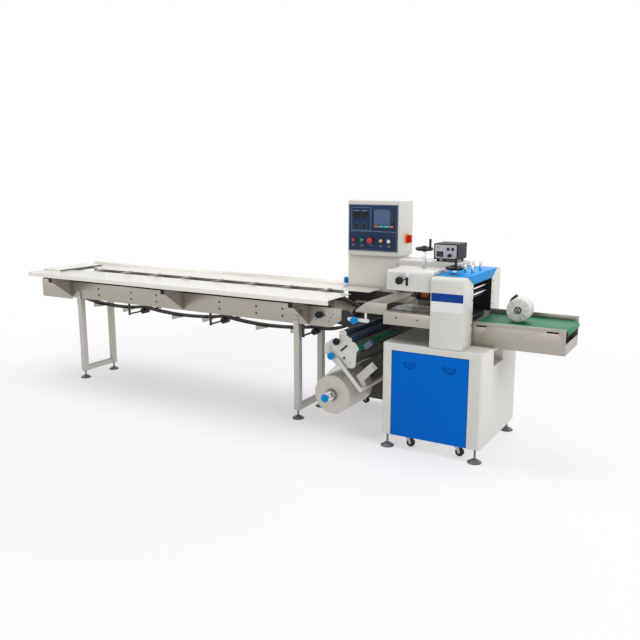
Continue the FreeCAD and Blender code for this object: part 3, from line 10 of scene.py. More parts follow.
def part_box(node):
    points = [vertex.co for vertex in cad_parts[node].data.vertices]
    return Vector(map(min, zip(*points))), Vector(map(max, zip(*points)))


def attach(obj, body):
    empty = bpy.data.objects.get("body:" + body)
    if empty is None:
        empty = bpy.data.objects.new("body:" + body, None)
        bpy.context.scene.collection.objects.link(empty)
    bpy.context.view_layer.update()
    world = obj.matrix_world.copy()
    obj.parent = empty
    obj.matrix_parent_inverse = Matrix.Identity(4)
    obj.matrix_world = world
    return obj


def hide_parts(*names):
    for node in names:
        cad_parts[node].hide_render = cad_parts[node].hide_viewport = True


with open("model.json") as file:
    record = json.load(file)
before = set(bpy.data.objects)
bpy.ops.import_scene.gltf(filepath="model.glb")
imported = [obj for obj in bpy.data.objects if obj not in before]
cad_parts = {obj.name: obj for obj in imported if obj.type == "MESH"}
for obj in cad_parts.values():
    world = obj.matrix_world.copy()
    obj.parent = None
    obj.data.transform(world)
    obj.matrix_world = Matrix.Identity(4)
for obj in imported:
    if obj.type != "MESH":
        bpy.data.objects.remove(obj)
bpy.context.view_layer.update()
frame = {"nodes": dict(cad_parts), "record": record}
NODES = frame["nodes"]
SLOT_OF = {part["node"]: part["material_slot"] for part in frame["record"]["subparts"]}
BODY_OF = {node: body for body, members in frame["record"]["behaviour"]["bodies"].items()
           for node in members}
SHIFT = Vector((1.07665, -0.377, 0.0))    # cabinet's front left corner in the row frame


def at(x, y, z):
    """Millimetres from the cabinet's front left corner, as a point in the row frame."""
    return Vector((x, y, z)) / 1000 + SHIFT


# ---------------------------------------------------------------- materials
def linear(r, g, b):
    """An sRGB colour of 0 to 255 as the linear colour a shader takes."""
    def one(c):
        c /= 255
        return c / 12.92 if c <= 0.04045 else ((c + 0.055) / 1.055) ** 2.4
    return (one(r), one(g), one(b), 1.0)


def finish(name, colour, rough, metal=0.0, grain=60.0, stretch=(1, 1, 1), relief=0.02,
           tint=0.10, rough_range=0.12, coat=0.0, corner_shade=0.35, clear=0.0, sheen=0.0, gleam=0.3):
    """Procedural finish: a base colour with broad and fine variation, relief, and painted shade that darkens
    corners and recesses.
    """
    mat = bpy.data.materials.new(name)
    mat.use_nodes = True
    nodes, links = mat.node_tree.nodes, mat.node_tree.links
    shader = nodes["Principled BSDF"]
    coords = nodes.new("ShaderNodeTexCoord")
    mapping = nodes.new("ShaderNodeMapping")
    mapping.inputs["Scale"].default_value = stretch
    links.new(coords.outputs["Object"], mapping.inputs["Vector"])
    fine = nodes.new("ShaderNodeTexNoise")
    fine.inputs["Scale"].default_value = grain
    fine.inputs["Detail"].default_value = 5.0
    links.new(mapping.outputs["Vector"], fine.inputs["Vector"])
    broad = nodes.new("ShaderNodeTexNoise")
    broad.inputs["Scale"].default_value = 3.5
    broad.inputs["Detail"].default_value = 4.0
    links.new(coords.outputs["Object"], broad.inputs["Vector"])
    base = linear(*colour)
    worn = nodes.new("ShaderNodeMix")
    worn.data_type = "RGBA"
    worn.inputs[6].default_value = base
    worn.inputs[7].default_value = tuple(c * (1 - tint) for c in base[:3]) + (1.0,)
    links.new(broad.outputs["Fac"], worn.inputs[0])
    # Painted shade: an ambient occlusion mask darkens the base colour in corners and recesses, where shade
    # falls.
    corners = nodes.new("ShaderNodeAmbientOcclusion")
    corners.samples = 4
    corners.inputs["Distance"].default_value = 0.03
    shade_depth = nodes.new("ShaderNodeMapRange")
    shade_depth.inputs["From Min"].default_value = 0.55
    shade_depth.inputs["From Max"].default_value = 1.0
    shade_depth.inputs["To Min"].default_value = corner_shade
    shade_depth.inputs["To Max"].default_value = 0.0
    links.new(corners.outputs["AO"], shade_depth.inputs["Value"])
    shaded_colour = nodes.new("ShaderNodeMix")
    shaded_colour.data_type = "RGBA"
    shaded_colour.inputs[7].default_value = tuple(c * 0.3 for c in base[:3]) + (1.0,)
    links.new(shade_depth.outputs["Result"], shaded_colour.inputs[0])
    links.new(worn.outputs[2], shaded_colour.inputs[6])
    links.new(shaded_colour.outputs[2], shader.inputs["Base Color"])
    gloss = nodes.new("ShaderNodeMapRange")
    gloss.inputs["To Min"].default_value = max(0.02, rough - rough_range)
    gloss.inputs["To Max"].default_value = min(1.0, rough + rough_range)
    links.new(fine.outputs["Fac"], gloss.inputs["Value"])
    links.new(gloss.outputs["Result"], shader.inputs["Roughness"])
    bump = nodes.new("ShaderNodeBump")
    bump.inputs["Strength"].default_value = relief
    bump.inputs["Distance"].default_value = 0.002
    links.new(fine.outputs["Fac"], bump.inputs["Height"])
    links.new(bump.outputs["Normal"], shader.inputs["Normal"])
    shader.inputs["Metallic"].default_value = metal
    shader.inputs["Coat Weight"].default_value = coat
    shader.inputs["Specular IOR Level"].default_value = gleam
    shader.inputs["Sheen Weight"].default_value = sheen
    if clear:
        shader.inputs["Alpha"].default_value = 1 - clear
    return mat


POWDER = finish("warm white powder coat", (222, 220, 213), 0.42, grain=420, relief=0.05, coat=0.15)
LEG_COAT = finish("light grey powder coat", (205, 203, 194), 0.45, grain=420, relief=0.05)
BLUE = finish("royal blue enamel", (0, 104, 204), 0.45, grain=300, tint=0.04, gleam=0.04)
COVER_BLUE = finish("sky blue enamel", (0, 148, 224), 0.4, grain=300, tint=0.04, gleam=0.05)
STAINLESS = finish("brushed stainless sheet", (174, 168, 158), 0.34, metal=0.85, grain=55,
                   stretch=(2, 60, 60), relief=0.04, rough_range=0.10, tint=0.08)
CHROME = finish("ground and plated steel", (225, 225, 225), 0.12, metal=1.0, grain=200,
                rough_range=0.05, relief=0.01, corner_shade=0.2)
DARK_STEEL = finish("dark oiled steel", (58, 57, 56), 0.42, metal=0.6, grain=160, relief=0.06)
TABLE_SHEET = finish("bright table sheet", (232, 229, 222), 0.28, metal=0.55, grain=55,
                     stretch=(2, 60, 60), relief=0.03, rough_range=0.08, tint=0.05, corner_shade=0.2)
CHAIN_GREY = finish("oiled grey roller chain", (126, 123, 117), 0.45, metal=0.45, grain=200)
FILM_FOLDS = finish("crumpled clear film", (226, 227, 231), 0.12, grain=14, relief=0.3, coat=0.5,
                    clear=0.35, corner_shade=0.0)
# Painted shade: the chain channel gets a steel darker than the stainless sheet, so that the slot in the table
# reads as shaded.
SLOT_STEEL = finish("slot steel darkened as painted shade", (120, 117, 112), 0.4, metal=0.7, grain=60, stretch=(2, 40, 40))
FOOT_GREY = finish("grey levelling foot", (112, 114, 118), 0.38, metal=0.5, grain=160)
SENSOR_GREY = finish("blue-grey sensor case", (96, 112, 134), 0.42, grain=260)
FRAME_STEEL = finish("dark grey frame paint", (74, 70, 66), 0.5, grain=260, relief=0.05)
ZINC = finish("zinc plated steel", (170, 172, 176), 0.36, metal=0.85, grain=90, relief=0.04)
TYRE = finish("black caster rubber", (34, 34, 35), 0.62, grain=300, relief=0.08)
COPPER = finish("heat stained copper block", (170, 84, 50), 0.38, metal=0.7, grain=90, tint=0.5)
FACE_BLUE = finish("dark blue control face", (38, 58, 88), 0.45, grain=350, tint=0.05, gleam=0.15)
BUTTON_RED = finish("red push button", (196, 32, 28), 0.28, grain=300, coat=0.4, tint=0.04)
YELLOW = finish("yellow switch plate", (250, 192, 52), 0.45, grain=280, tint=0.05, gleam=0.15)
SWITCH_RED = finish("red rotary switch", (228, 30, 22), 0.36, grain=280, tint=0.05, gleam=0.15)
DARK_PLASTIC = finish("fine grained dark plastic", (27, 28, 31), 0.5, grain=500, relief=0.06, gleam=0.2)
BAKELITE = finish("polished black bakelite", (16, 16, 17), 0.3, grain=180, coat=0.08, gleam=0.2)
FILM_ROLL = finish("wound white film", (206, 201, 190), 0.3, grain=40, stretch=(60, 1, 60),
                   relief=0.06, coat=0.3, tint=0.06)
CORE = finish("core board", (150, 126, 96), 0.85, grain=200, relief=0.1)
ROLLER_BLUE = finish("dark blue ground rubber", (48, 66, 92), 0.3, grain=200, tint=0.1, coat=0.2)
ROLLER_GREEN = finish("green ground rubber", (0, 118, 78), 0.45, grain=220, tint=0.1)
BELT_GREEN = finish("green textured belt", (0, 112, 72), 0.5, grain=700, relief=0.25, tint=0.06)
KNOB_BLUE = finish("blue knob plastic", (0, 140, 215), 0.34, grain=280, gleam=0.1)
BRISTLE = finish("white nylon bristle", (228, 226, 220), 0.6, grain=900, relief=0.2, sheen=0.3)
FILM_WEB = finish("clear film web", (168, 158, 146), 0.22, grain=12, stretch=(1, 6, 1),
                  relief=0.12, coat=0.4, clear=0.55, corner_shade=0.0)

BY_SLOT = {
    "cream_enamel": POWDER, "blue_enamel": BLUE, "stainless": STAINLESS, "chrome": CHROME,
    "dark_steel": DARK_STEEL, "zinc_steel": ZINC, "grey_rubber": TYRE, "heater_metal": COPPER,
    "panel_blue": FACE_BLUE, "control_plastic": BUTTON_RED, "yellow_plastic": YELLOW,
    "red_plastic": SWITCH_RED, "dark_plastic": DARK_PLASTIC, "black_plastic": BAKELITE,
    "film": FILM_ROLL, "core_board": CORE, "blue_rubber": ROLLER_BLUE,
    "green_rubber": BELT_GREEN, "blue_plastic": KNOB_BLUE, "white_bristle": BRISTLE,
}
BY_NODE = {
    "blue_cover": COVER_BLUE, "rear_frame": FRAME_STEEL, "infeed_leg_frames": LEG_COAT,
    "green_roller": ROLLER_GREEN, "infeed_table": TABLE_SHEET, "levelling_feet": FOOT_GREY,
    "sensor_head": SENSOR_GREY, "conveyor_rollers": DARK_STEEL, "chain_channel": SLOT_STEEL,
}


# ---------------------------------------------------------------- CAD pieces with eased edges
def eased(node, width=0.0009):
    """A copy of a CAD node with merged vertices, lightly rounded sharp edges and smooth shading."""
    source = NODES[node]
    mesh = source.data.copy()
    bm = bmesh.new()
    bm.from_mesh(mesh)
    bmesh.ops.remove_doubles(bm, verts=bm.verts, dist=1e-6)
    bmesh.ops.dissolve_limit(bm, angle_limit=math.radians(0.5), verts=bm.verts, edges=bm.edges)
    bm.to_mesh(mesh)
    bm.free()
    piece = bpy.data.objects.new(node + "_skin", mesh)
    bpy.context.scene.collection.objects.link(piece)
    if width:
        bevel = piece.modifiers.new("eased edges", "BEVEL")
        bevel.width = width
        bevel.segments = 2
        bevel.limit_method = "ANGLE"
        bevel.angle_limit = math.radians(40)
        bevel.use_clamp_overlap = True
        evaluated = piece.evaluated_get(bpy.context.evaluated_depsgraph_get())
        rounded = bpy.data.meshes.new_from_object(evaluated)
        piece.modifiers.clear()
        piece.data = rounded
    piece.data.materials.clear()
    piece.data.materials.append(BY_NODE.get(node, BY_SLOT[SLOT_OF[node]]))
    piece.data.shade_smooth()
    piece.data.set_sharp_from_angle(angle=math.radians(38))
    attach(piece, BODY_OF[node])
    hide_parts(node)
    return piece


for node_name in sorted(NODES):
    eased(node_name)

# ---------------------------------------------------------------- detail pieces
class Kit:
    """Collects closed solids of one finish on one body, in millimetres, and makes them one piece."""

    def __init__(self, name, body, slot, mat):
        self.name, self.body, self.slot, self.mat = name, body, slot, mat
        self.bm = bmesh.new()

    def _place(self, made, centre, turn):
        move = Matrix.Translation(Vector(centre))
        if turn:
            move = move @ turn.to_4x4()
        bmesh.ops.transform(self.bm, matrix=move, verts=made)

    def block(self, x0, x1, y0, y1, z0, z1, ease=0.6, turn=None):
        """Block between two corners with eased edges."""
        made = bmesh.ops.create_cube(self.bm, size=1.0)["verts"]
        size = Vector((abs(x1 - x0), abs(y1 - y0), abs(z1 - z0)))
        bmesh.ops.scale(self.bm, vec=size, verts=made)
        if ease:
            edges = list({e for v in made for e in v.link_edges})
            result = bmesh.ops.bevel(self.bm, geom=edges, offset=min(ease, min(size) * 0.45),
                                     segments=2, affect="EDGES", clamp_overlap=True)
            made = list({v for f in result["faces"] for v in f.verts})
        self._place(made, ((x0 + x1) / 2, (y0 + y1) / 2, (z0 + z1) / 2), turn)

    def turned(self, centre, axis, profile, sides=28):
        """Turned piece from a profile of (radius, height) pairs along an axis from its centre."""
        rings = []
        first = len(self.bm.verts)
        for radius, height in profile:
            if radius <= 0:
                rings.append([self.bm.verts.new((0, 0, height))])
            else:
                rings.append([self.bm.verts.new((radius * math.cos(2 * math.pi * i / sides),
                                                 radius * math.sin(2 * math.pi * i / sides), height))
                              for i in range(sides)])
        for low, high in zip(rings, rings[1:]):
            for i in range(sides):
                j = (i + 1) % sides
                if len(low) == 1 and len(high) > 1:
                    self.bm.faces.new((low[0], high[j], high[i]))
                elif len(high) == 1 and len(low) > 1:
                    self.bm.faces.new((low[i], low[j], high[0]))
                elif len(low) > 1:
                    self.bm.faces.new((low[i], low[j], high[j], high[i]))
        made = [v for ring in rings for v in ring]
        turn = Vector((0, 0, 1)).rotation_difference(Vector(axis).normalized()).to_matrix()
        self._place(made, centre, turn)

    def ring(self, centre, radius, tube_r, flat=1.0, sides=40, round_sides=12):
        """Ring about Z with an oval section."""
        made, rows = [], []
        for i in range(sides):
            a = 2 * math.pi * i / sides
            row = []
            for k in range(round_sides):
                b = 2 * math.pi * k / round_sides
                r = radius + tube_r * math.cos(b)
                row.append(self.bm.verts.new((r * math.cos(a), r * math.sin(a),
                                              tube_r * flat * math.sin(b))))
            rows.append(row)
            made += row
        for i in range(sides):
            for k in range(round_sides):
                m, n = (i + 1) % sides, (k + 1) % round_sides
                self.bm.faces.new((rows[i][k], rows[m][k], rows[m][n], rows[i][n]))
        self._place(made, centre, None)

    def plate(self, outline, y0, y1):
        """Flat plate with an outline of (x, z) corners, from y0 to y1."""
        front = [self.bm.verts.new((x, y0, z)) for x, z in outline]
        back = [self.bm.verts.new((x, y1, z)) for x, z in outline]
        self.bm.faces.new(front)
        self.bm.faces.new(list(reversed(back)))
        for k in range(len(outline)):
            m = (k + 1) % len(outline)
            self.bm.faces.new((front[k], back[k], back[m], front[m]))

    def button(self, centre, axis, radius, height, crown=0.35, sides=28):
        """Round piece with a softly crowned face."""
        self.turned(centre, axis, [(0, 0), (radius, 0), (radius, height * (1 - crown)),
                                   (radius * 0.94, height * (1 - crown * 0.4)),
                                   (radius * 0.8, height), (0, height * 1.02)], sides)

    def socket_screw(self, centre, axis, radius=4.0):
        """Cap screw head with its socket."""
        r, h = radius, radius * 0.8
        self.turned(centre, axis, [(0, 0), (r, 0), (r, h * 0.8), (r * 0.85, h), (r * 0.55, h),
                                   (r * 0.5, h * 0.5), (0, h * 0.5)], 18)

    def hex_bolt(self, centre, axis, radius=6.0):
        """Washer with a chamfered hexagon head on it."""
        r = radius
        self.turned(centre, axis, [(0, 0), (r * 1.5, 0), (r * 1.5, r * 0.22), (0, r * 0.22)], 24)
        self.turned(centre, axis, [(0, r * 0.2), (r, r * 0.2), (r, r * 0.75), (r * 0.82, r * 0.9),
                                   (0, r * 0.9)], 6)

    def tube(self, points, radius, sides=12):
        """Round bar along a run of points, closed at its ends."""
        rings = []
        last = len(points) - 1
        up = Vector((0, 0, 1))
        for k, point in enumerate(points):
            ahead = Vector(points[min(k + 1, last)]) - Vector(points[max(k - 1, 0)])
            ahead.normalize()
            side = ahead.cross(up)
            side = side.normalized() if side.length > 1e-4 else Vector((1, 0, 0))
            over = side.cross(ahead).normalized()
            rings.append([self.bm.verts.new(Vector(point) + radius * (
                math.cos(2 * math.pi * i / sides) * side + math.sin(2 * math.pi * i / sides) * over))
                for i in range(sides)])
        for low, high in zip(rings, rings[1:]):
            for i in range(sides):
                j = (i + 1) % sides
                self.bm.faces.new((low[i], low[j], high[j], high[i]))
        self.bm.faces.new(list(reversed(rings[0])))
        self.bm.faces.new(rings[-1])

    def done(self, soft=38):
        """Makes the piece, places it in the row frame and fastens it to its body."""
        bmesh.ops.recalc_face_normals(self.bm, faces=self.bm.faces)
        for vert in self.bm.verts:
            vert.co = at(*vert.co)
        mesh = bpy.data.meshes.new(self.name)
        self.bm.to_mesh(mesh)
        self.bm.free()
        mesh.materials.append(self.mat)
        mesh.shade_smooth()
        mesh.set_sharp_from_angle(angle=math.radians(soft))
        piece = bpy.data.objects.new(self.name, mesh)
        bpy.context.scene.collection.objects.link(piece)
        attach(piece, self.body)
        return piece


X, Y, Z = Vector((1, 0, 0)), Vector((0, 1, 0)), Vector((0, 0, 1))
LIGHT_PRINT = finish("pale printed lines", (150, 168, 192), 0.5, grain=300, corner_shade=0.0)
SCREEN_GLASS = finish("blue-grey screen glass", (58, 88, 132), 0.12, grain=80, coat=0.6, corner_shade=0.1)
KEY_ORANGE = finish("orange function key", (232, 112, 84), 0.4, grain=240)
KEY_CYAN = finish("cyan function key", (88, 190, 200), 0.4, grain=240)
GREEN_BUTTON = finish("green push button", (22, 140, 108), 0.28, grain=240, coat=0.4)
AMBER_BUTTON = finish("amber lamp", (226, 170, 90), 0.25, grain=240, coat=0.5)
BAND_BLUE = finish("royal blue name band", (14, 64, 150), 0.42, grain=260, gleam=0.1)
PLATE_WHITE = finish("bare white plate", (238, 238, 240), 0.35, grain=260, coat=0.2)
FACE_GREY = finish("pale instrument face", (206, 204, 210), 0.4, grain=260)
RED_LAMP = finish("red indicator lamp", (206, 40, 34), 0.25, grain=200, coat=0.5)


def control_panel_details():
    """Frames, displays, keys, caption bars and buttons of the operator panel."""
    face = 571.0
    frames = Kit("panel_frames", "machine", "panel_blue", LIGHT_PRINT)
    for x0, x1, z0, z1, t in ((-511, -368, 1238, 1388, 1.6), (-528, -178, 1107, 1405, 1.6),
                              (-341, -227, 1277, 1371, 1.8), (-522, -184, 1231, 1233, 1.2)):
        for a, b, c, d in ((x0, x1, z0, z0 + t), (x0, x1, z1 - t, z1), (x0, x0 + t, z0, z1),
                           (x1 - t, x1, z0, z1)):
            if b - a > 0.5 and d - c > 0.5:
                frames.block(a, b, face - 0.8 - (3.4 if t == 1.8 else 0), face - (3.4 if t == 1.8 else 0),
                             c, d, 0.2)
    for i, x in enumerate((-496, -430, -366, -292, -233)):
        for row in range(2 if i != 2 else 1):
            frames.block(x - 12, x + 12 - 6 * row, face - 0.7, face, 1139 - 7 * row, 1141.6 - 7 * row, 0.2)
    for x in (-474, -414):
        frames.block(x - 19, x + 19, face - 4.7, face - 4, 1364, 1368, 0.2)
        for k in range(7):
            a = math.radians(-30 + 40 * k)
            frames.block(x + 15 * math.cos(a) - 1.4, x + 15 * math.cos(a) + 1.4, face - 0.7, face,
                         1268 + 15 * math.sin(a) - 1.4, 1268 + 15 * math.sin(a) + 1.4, 0.2)
    for k in range(5):
        frames.block(-219, -207, face - 4.8, face - 4, 1283 + 18 * k, 1286 + 18 * k, 0.2)
    for k in range(8):
        frames.block(-330 + 12 * k, -322 + 12 * k, face - 4.8, face - 4, 1372.4, 1374, 0.1)
    frames.done()
    dark = Kit("panel_dark_fields", "machine", "dark_plastic", DARK_PLASTIC)
    for x in (-474, -414):
        dark.block(x - 21, x + 21, face - 5.4, face - 4, 1318, 1360, 0.5)
        dark.turned((x, face, 1268), -Y, [(0, 0), (10, 0), (10, 3), (8, 4), (8, 13), (7, 15), (0, 15)])
    dark.block(-223, -203, face - 4.8, face - 3.9, 1278, 1370, 0.4)
    for x in (-495, -430, -366, -292, -233):
        dark.turned((x, face, 1172), -Y, [(0, 0), (16, 0), (16, 1.6), (13.5, 3), (0, 3)])
    dark.done()
    glass = Kit("screen_glass", "machine", "panel_blue", SCREEN_GLASS)
    glass.block(-337, -231, face - 5.2, face - 3.9, 1281, 1367, 0.5)
    glass.done()
    for name, mat, spans in (("orange_keys", KEY_ORANGE, ((-341, -312), (-232, -204))),
                             ("cyan_keys", KEY_CYAN, ((-308, -274), (-270, -236)))):
        keys = Kit(name, "machine", "control_plastic", mat)
        for x0, x1 in spans:
            keys.block(x0, x1, face - 6.0, face - 3.9, 1260.5, 1271.5, 1.0)
        keys.done()
    for name, mat, x in (("green_button", GREEN_BUTTON, -430), ("amber_button", AMBER_BUTTON, -292)):
        lamp = Kit(name, "machine", "control_plastic", mat)
        lamp.button((x, face - 3, 1172), -Y, 11.8, 8)
        lamp.done()
    selector = Kit("selector_knob", "machine", "chrome", CHROME)
    selector.turned((-233, face - 3, 1172), -Y, [(0, 0), (12.2, 0), (12, 7), (0, 7)])
    selector.block(-236, -230, face - 20, face - 9, 1160, 1184, 1.2,
                   Matrix.Rotation(math.radians(35), 3, "Y"))
    selector.done()
    corners = Kit("panel_corner_screws", "machine", "dark_steel", DARK_STEEL)
    for x in (-524, -182):
        for z in (1111, 1401):
            corners.socket_screw((x, face, z), -Y, 3.0)
    corners.done()


def head_details():
    """Name band, bare plate, screws, tunnel lining and hood parts on the sealing head."""
    band = Kit("name_band", "machine", "blue_enamel", BAND_BLUE)
    band.block(294.5, 480.5, -0.9, 0.0, 906, 952, 0.3)
    band.done()
    plate = Kit("bare_name_plate", "machine", "cream_enamel", PLATE_WHITE)
    plate.block(294.5, 480.5, -0.8, 0.0, 846, 905.4, 0.3)
    plate.done()
    lining = Kit("tunnel_lining", "machine", "dark_plastic", DARK_PLASTIC)
    lining.block(292, 484, 491.6, 493.8, 792, 1006, 0.3)
    lining.done()
    screws = Kit("head_screws", "machine", "dark_steel", DARK_STEEL)
    for y in (138, 520):
        for z in (700, 762, 830, 905, 970):
            screws.socket_screw((486, y, z), X, 3.2)
    for x, z in ((81, 789), (213, 786)):
        screws.socket_screw((x, 4.0, z), -Y, 4.2)
    screws.done()
    ring_disc = Kit("hood_slot_disc", "machine", "cream_enamel", PLATE_WHITE)
    ring_disc.turned((137, 21.5, 1041), -Y, [(0, 0), (16, 0), (16, 2.6), (14, 4), (0, 4)])
    ring_disc.done()
    inside = Kit("hood_slot_dark", "machine", "dark_plastic", DARK_PLASTIC)
    inside.block(128, 142, 26, 31.5, 976, 1036, 1.0)
    inside.tube([(99, 20, 1006), (120, 20, 1010), (136, 22, 1014)], 3.0)
    inside.done()


def display_box_details():
    """Face, dark display, lamps and knobs of the small temperature box."""
    x0, w, d, h = 107.0, 154.0, 168.0, 98.0
    lo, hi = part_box("display_box")
    front = (lo.y - SHIFT.y) * 1000
    left, right = (lo.x - SHIFT.x) * 1000, (hi.x - SHIFT.x) * 1000
    top = (hi.z - SHIFT.z) * 1000
    low = top - h
    face = Kit("display_face", "machine", "dark_plastic", FACE_GREY)
    face.block(left + 7, right - 7, front - 1.4, front, low + 7, top - 7, 0.4)
    face.done()
    dark = Kit("display_fields", "machine", "dark_plastic", DARK_PLASTIC)
    dark.block(left + 18, left + 62, front - 2.4, front - 1.3, low + 16, low + 50, 0.5)
    for x in (left + 93, left + 122):
        dark.turned((x, front - 1.3, top - 32), -Y, [(0, 0), (9, 0), (9, 3), (6, 4), (0, 4)])
    dark.turned((left + 104, front - 1.3, low + 27), -Y, [(0, 0), (11, 0), (10, 10), (8, 12), (0, 12)])
    for x in (left + 2.5, right - 2.5):
        dark.block(x - 2.5, x + 2.5, front - 2.2, front, low, top, 0.8)
    for z in (low + 2.5, top - 2.5):
        dark.block(left, right, front - 2.2, front, z - 2.5, z + 2.5, 0.8)
    dark.done()
    digits = Kit("display_digits", "machine", "panel_blue", SCREEN_GLASS)
    for row in (low + 24, low + 38):
        for i in range(3):
            digits.block(left + 26 + 11 * i, left + 33 + 11 * i, front - 2.9, front - 2.3, row - 4, row + 4, 0.3)
    digits.done()
    lamp = Kit("display_lamp", "machine", "red_plastic", RED_LAMP)
    lamp.button((left + 26, front - 1.3, top - 22), -Y, 4, 3)
    lamp.done()


def infeed_details():
    """End caps, bolts, tail cover and small fittings along the infeed conveyor."""
    plate_y = 158.0
    lo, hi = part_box("table_brackets")
    front_y = (lo.y - SHIFT.y) * 1000
    caps = Kit("tube_end_caps", "machine", "dark_plastic", DARK_PLASTIC)
    bolts = Kit("gusset_bolts", "machine", "zinc_steel", ZINC)
    for joint in (-2786, -1645, -597):
        caps.block(joint - 40, joint - 4, front_y - 2.0, front_y + 0.5, 788, 824, 2.0)
        for x, z in ((-18, 678), (-18, 712), (-26, 745)):
            bolts.hex_bolt((joint + x, plate_y - 4, z), -Y, 4.2)
    caps.done()
    for x in (-2712, -695):
        bolts.hex_bolt((x, plate_y - 5, 676), -Y, 5.0)
    bolts.done()
    dark = Kit("plate_bolts", "machine", "dark_steel", DARK_STEEL)
    for x in (-2490, -2150, -1900, -1320, -1010, -800):
        for z in (690, 738):
            dark.hex_bolt((x, plate_y, z), -Y, 4.8)
    for x, z in ((-452, 690), (-436, 716), (-420, 738), (-545, 690)):
        dark.socket_screw((x, plate_y, z), -Y, 3.4)
    dark.done()
    # Painted shade: a thin dark plate lying on the table stands for the dark inside of the open hole beside the
    # tail cover.
    hole_shade = Kit("tail_shadow_plate", "machine", "dark_plastic", DARK_PLASTIC)
    hole_shade.block(-2862, -2782, 232, 430, 856.0, 857.0, 0.3)
    hole_shade.done()
    cover = Kit("tail_cover_sheet", "machine", "stainless", TABLE_SHEET)
    cover.block(-3060, -2866, 120, 560, 864.0, 866.0, 0.5)
    for y0, y1 in ((120, 122), (558, 560)):
        cover.block(-3060, -2866, y0, y1, 856, 865, 0.4)
    cover.done()
    slide = Kit("curved_slot_plate", "machine", "chrome", CHROME)
    slide.tube([(-497, 157, 738), (-484, 157, 744), (-470, 157, 744), (-458, 157, 738),
                (-450, 157, 730)], 3.2)
    slide.done()


def unwinder_details():
    """Dark slot, shaft ends and screws of the film feed."""
    lo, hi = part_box("feed_plate")
    y = (lo.y - SHIFT.y) * 1000
    dark = Kit("feed_plate_slot", "machine", "dark_plastic", DARK_PLASTIC)
    dark.tube([(-303, y + 1, 537), (-282, y + 1, 556), (-261, y + 1, 575)], 5.3)
    for x, z in ((-378, 556), (-378, 540), (-366, 548), (-240, 470)):
        dark.socket_screw((x, y, z), -Y, 2.8)
    dark.done()
    for name, (x, z), slot, mat in (("press_roller", (-292, 644), "chrome", CHROME),
                                    ("rubber_roller", (-250, 606), "chrome", CHROME),
                                    ("green_roller", (-205, 560), "chrome", CHROME),
                                    ("guide_roller", (-280, 494), "dark_steel", DARK_STEEL)):
        near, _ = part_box(name)
        end = Kit(name + "_end", name, slot, mat)
        end.turned((x, (near.y - SHIFT.y) * 1000 + 0.4, z), -Y,
                   [(0, 0), (7.6, 0), (7.6, 1.2), (6.8, 2), (3, 2), (2.4, 0.8), (0, 0.8)])
        end.done()
    arm_lo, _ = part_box("tension_arm")
    arm = Kit("tension_arm_screws", "tension_arm", "dark_steel", DARK_STEEL)
    for x, z in ((-102, 452), (-92, 444)):
        arm.socket_screw((x, 95.5, z), -Y, 3.0)
    arm.done()


def main_switch_details():
    """Red grip of the main switch."""
    lo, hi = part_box("main_switch_knob")
    y, z = ((lo + hi) / 2 - SHIFT).y * 1000, ((lo + hi) / 2 - SHIFT).z * 1000
    x = (lo.x - SHIFT.x) * 1000
    knob = Kit("main_switch_grip", "main_switch", "red_plastic", SWITCH_RED)
    root = (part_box("main_switch_plate")[1].x - SHIFT.x) * 1000 + 1
    knob.turned((root, y, z), X, [(0, 0), (27, 0), (27, 9), (25, 12), (0, 12)], 40)
    knob.block(root + 11, root + 30, y - 11, y + 11, z - 25, z + 25, 3.0)
    knob.done()


def handwheel_details():
    """Full round rims and boss collars of the two handwheels."""
    for node, body in (("handwheel_left", "hand_left"), ("handwheel_right", "hand_right")):
        centre = {"handwheel_left": (160, 214, 1162), "handwheel_right": (368, 158, 1068)}[node]
        rim = Kit(node + "_rim", body, "black_plastic", BAKELITE)
        rim.ring((centre[0], centre[1], centre[2] + 10), 44.5, 8.0, 1.2)
        rim.turned((centre[0], centre[1], centre[2] + 1), Z,
                   [(0, 0), (19, 0), (21, 4), (17, 12), (14, 24), (12, 27), (0, 27)], 32)
        rim.done()


def tunnel_skirt():
    """Black skirt with a slanted end behind the tunnel's outlet."""
    skirt = Kit("tunnel_skirt", "machine", "dark_plastic", DARK_PLASTIC)
    skirt.plate([(300, 1000), (474, 1000), (474, 846), (440, 822), (300, 822)], 478.0, 481.0)
    skirt.done()


def deck_film():
    """Crumpled end of film lying on the forming deck."""
    bm = bmesh.new()
    grid = []
    for i in range(33):
        row = []
        for j in range(25):
            x, y = 14 + 250 * i / 32, 66 + 200 * j / 24
            fold = (2.4 * math.sin(x * 0.11 + 0.7 * math.sin(y * 0.06)) * math.sin(y * 0.045 + x * 0.02)
                    + 1.2 * math.sin(x * 0.31 + y * 0.17))
            row.append(bm.verts.new(at(x, y, 826.5 + fold)))
        grid.append(row)
    for low, high in zip(grid, grid[1:]):
        for j in range(24):
            bm.faces.new((low[j], high[j], high[j + 1], low[j + 1]))
    mesh = bpy.data.meshes.new("film_on_deck")
    bm.to_mesh(mesh)
    bm.free()
    mesh.materials.append(FILM_FOLDS)
    mesh.shade_smooth()
    film = bpy.data.objects.new("film_on_deck", mesh)
    bpy.context.scene.collection.objects.link(film)
    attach(film, "machine")


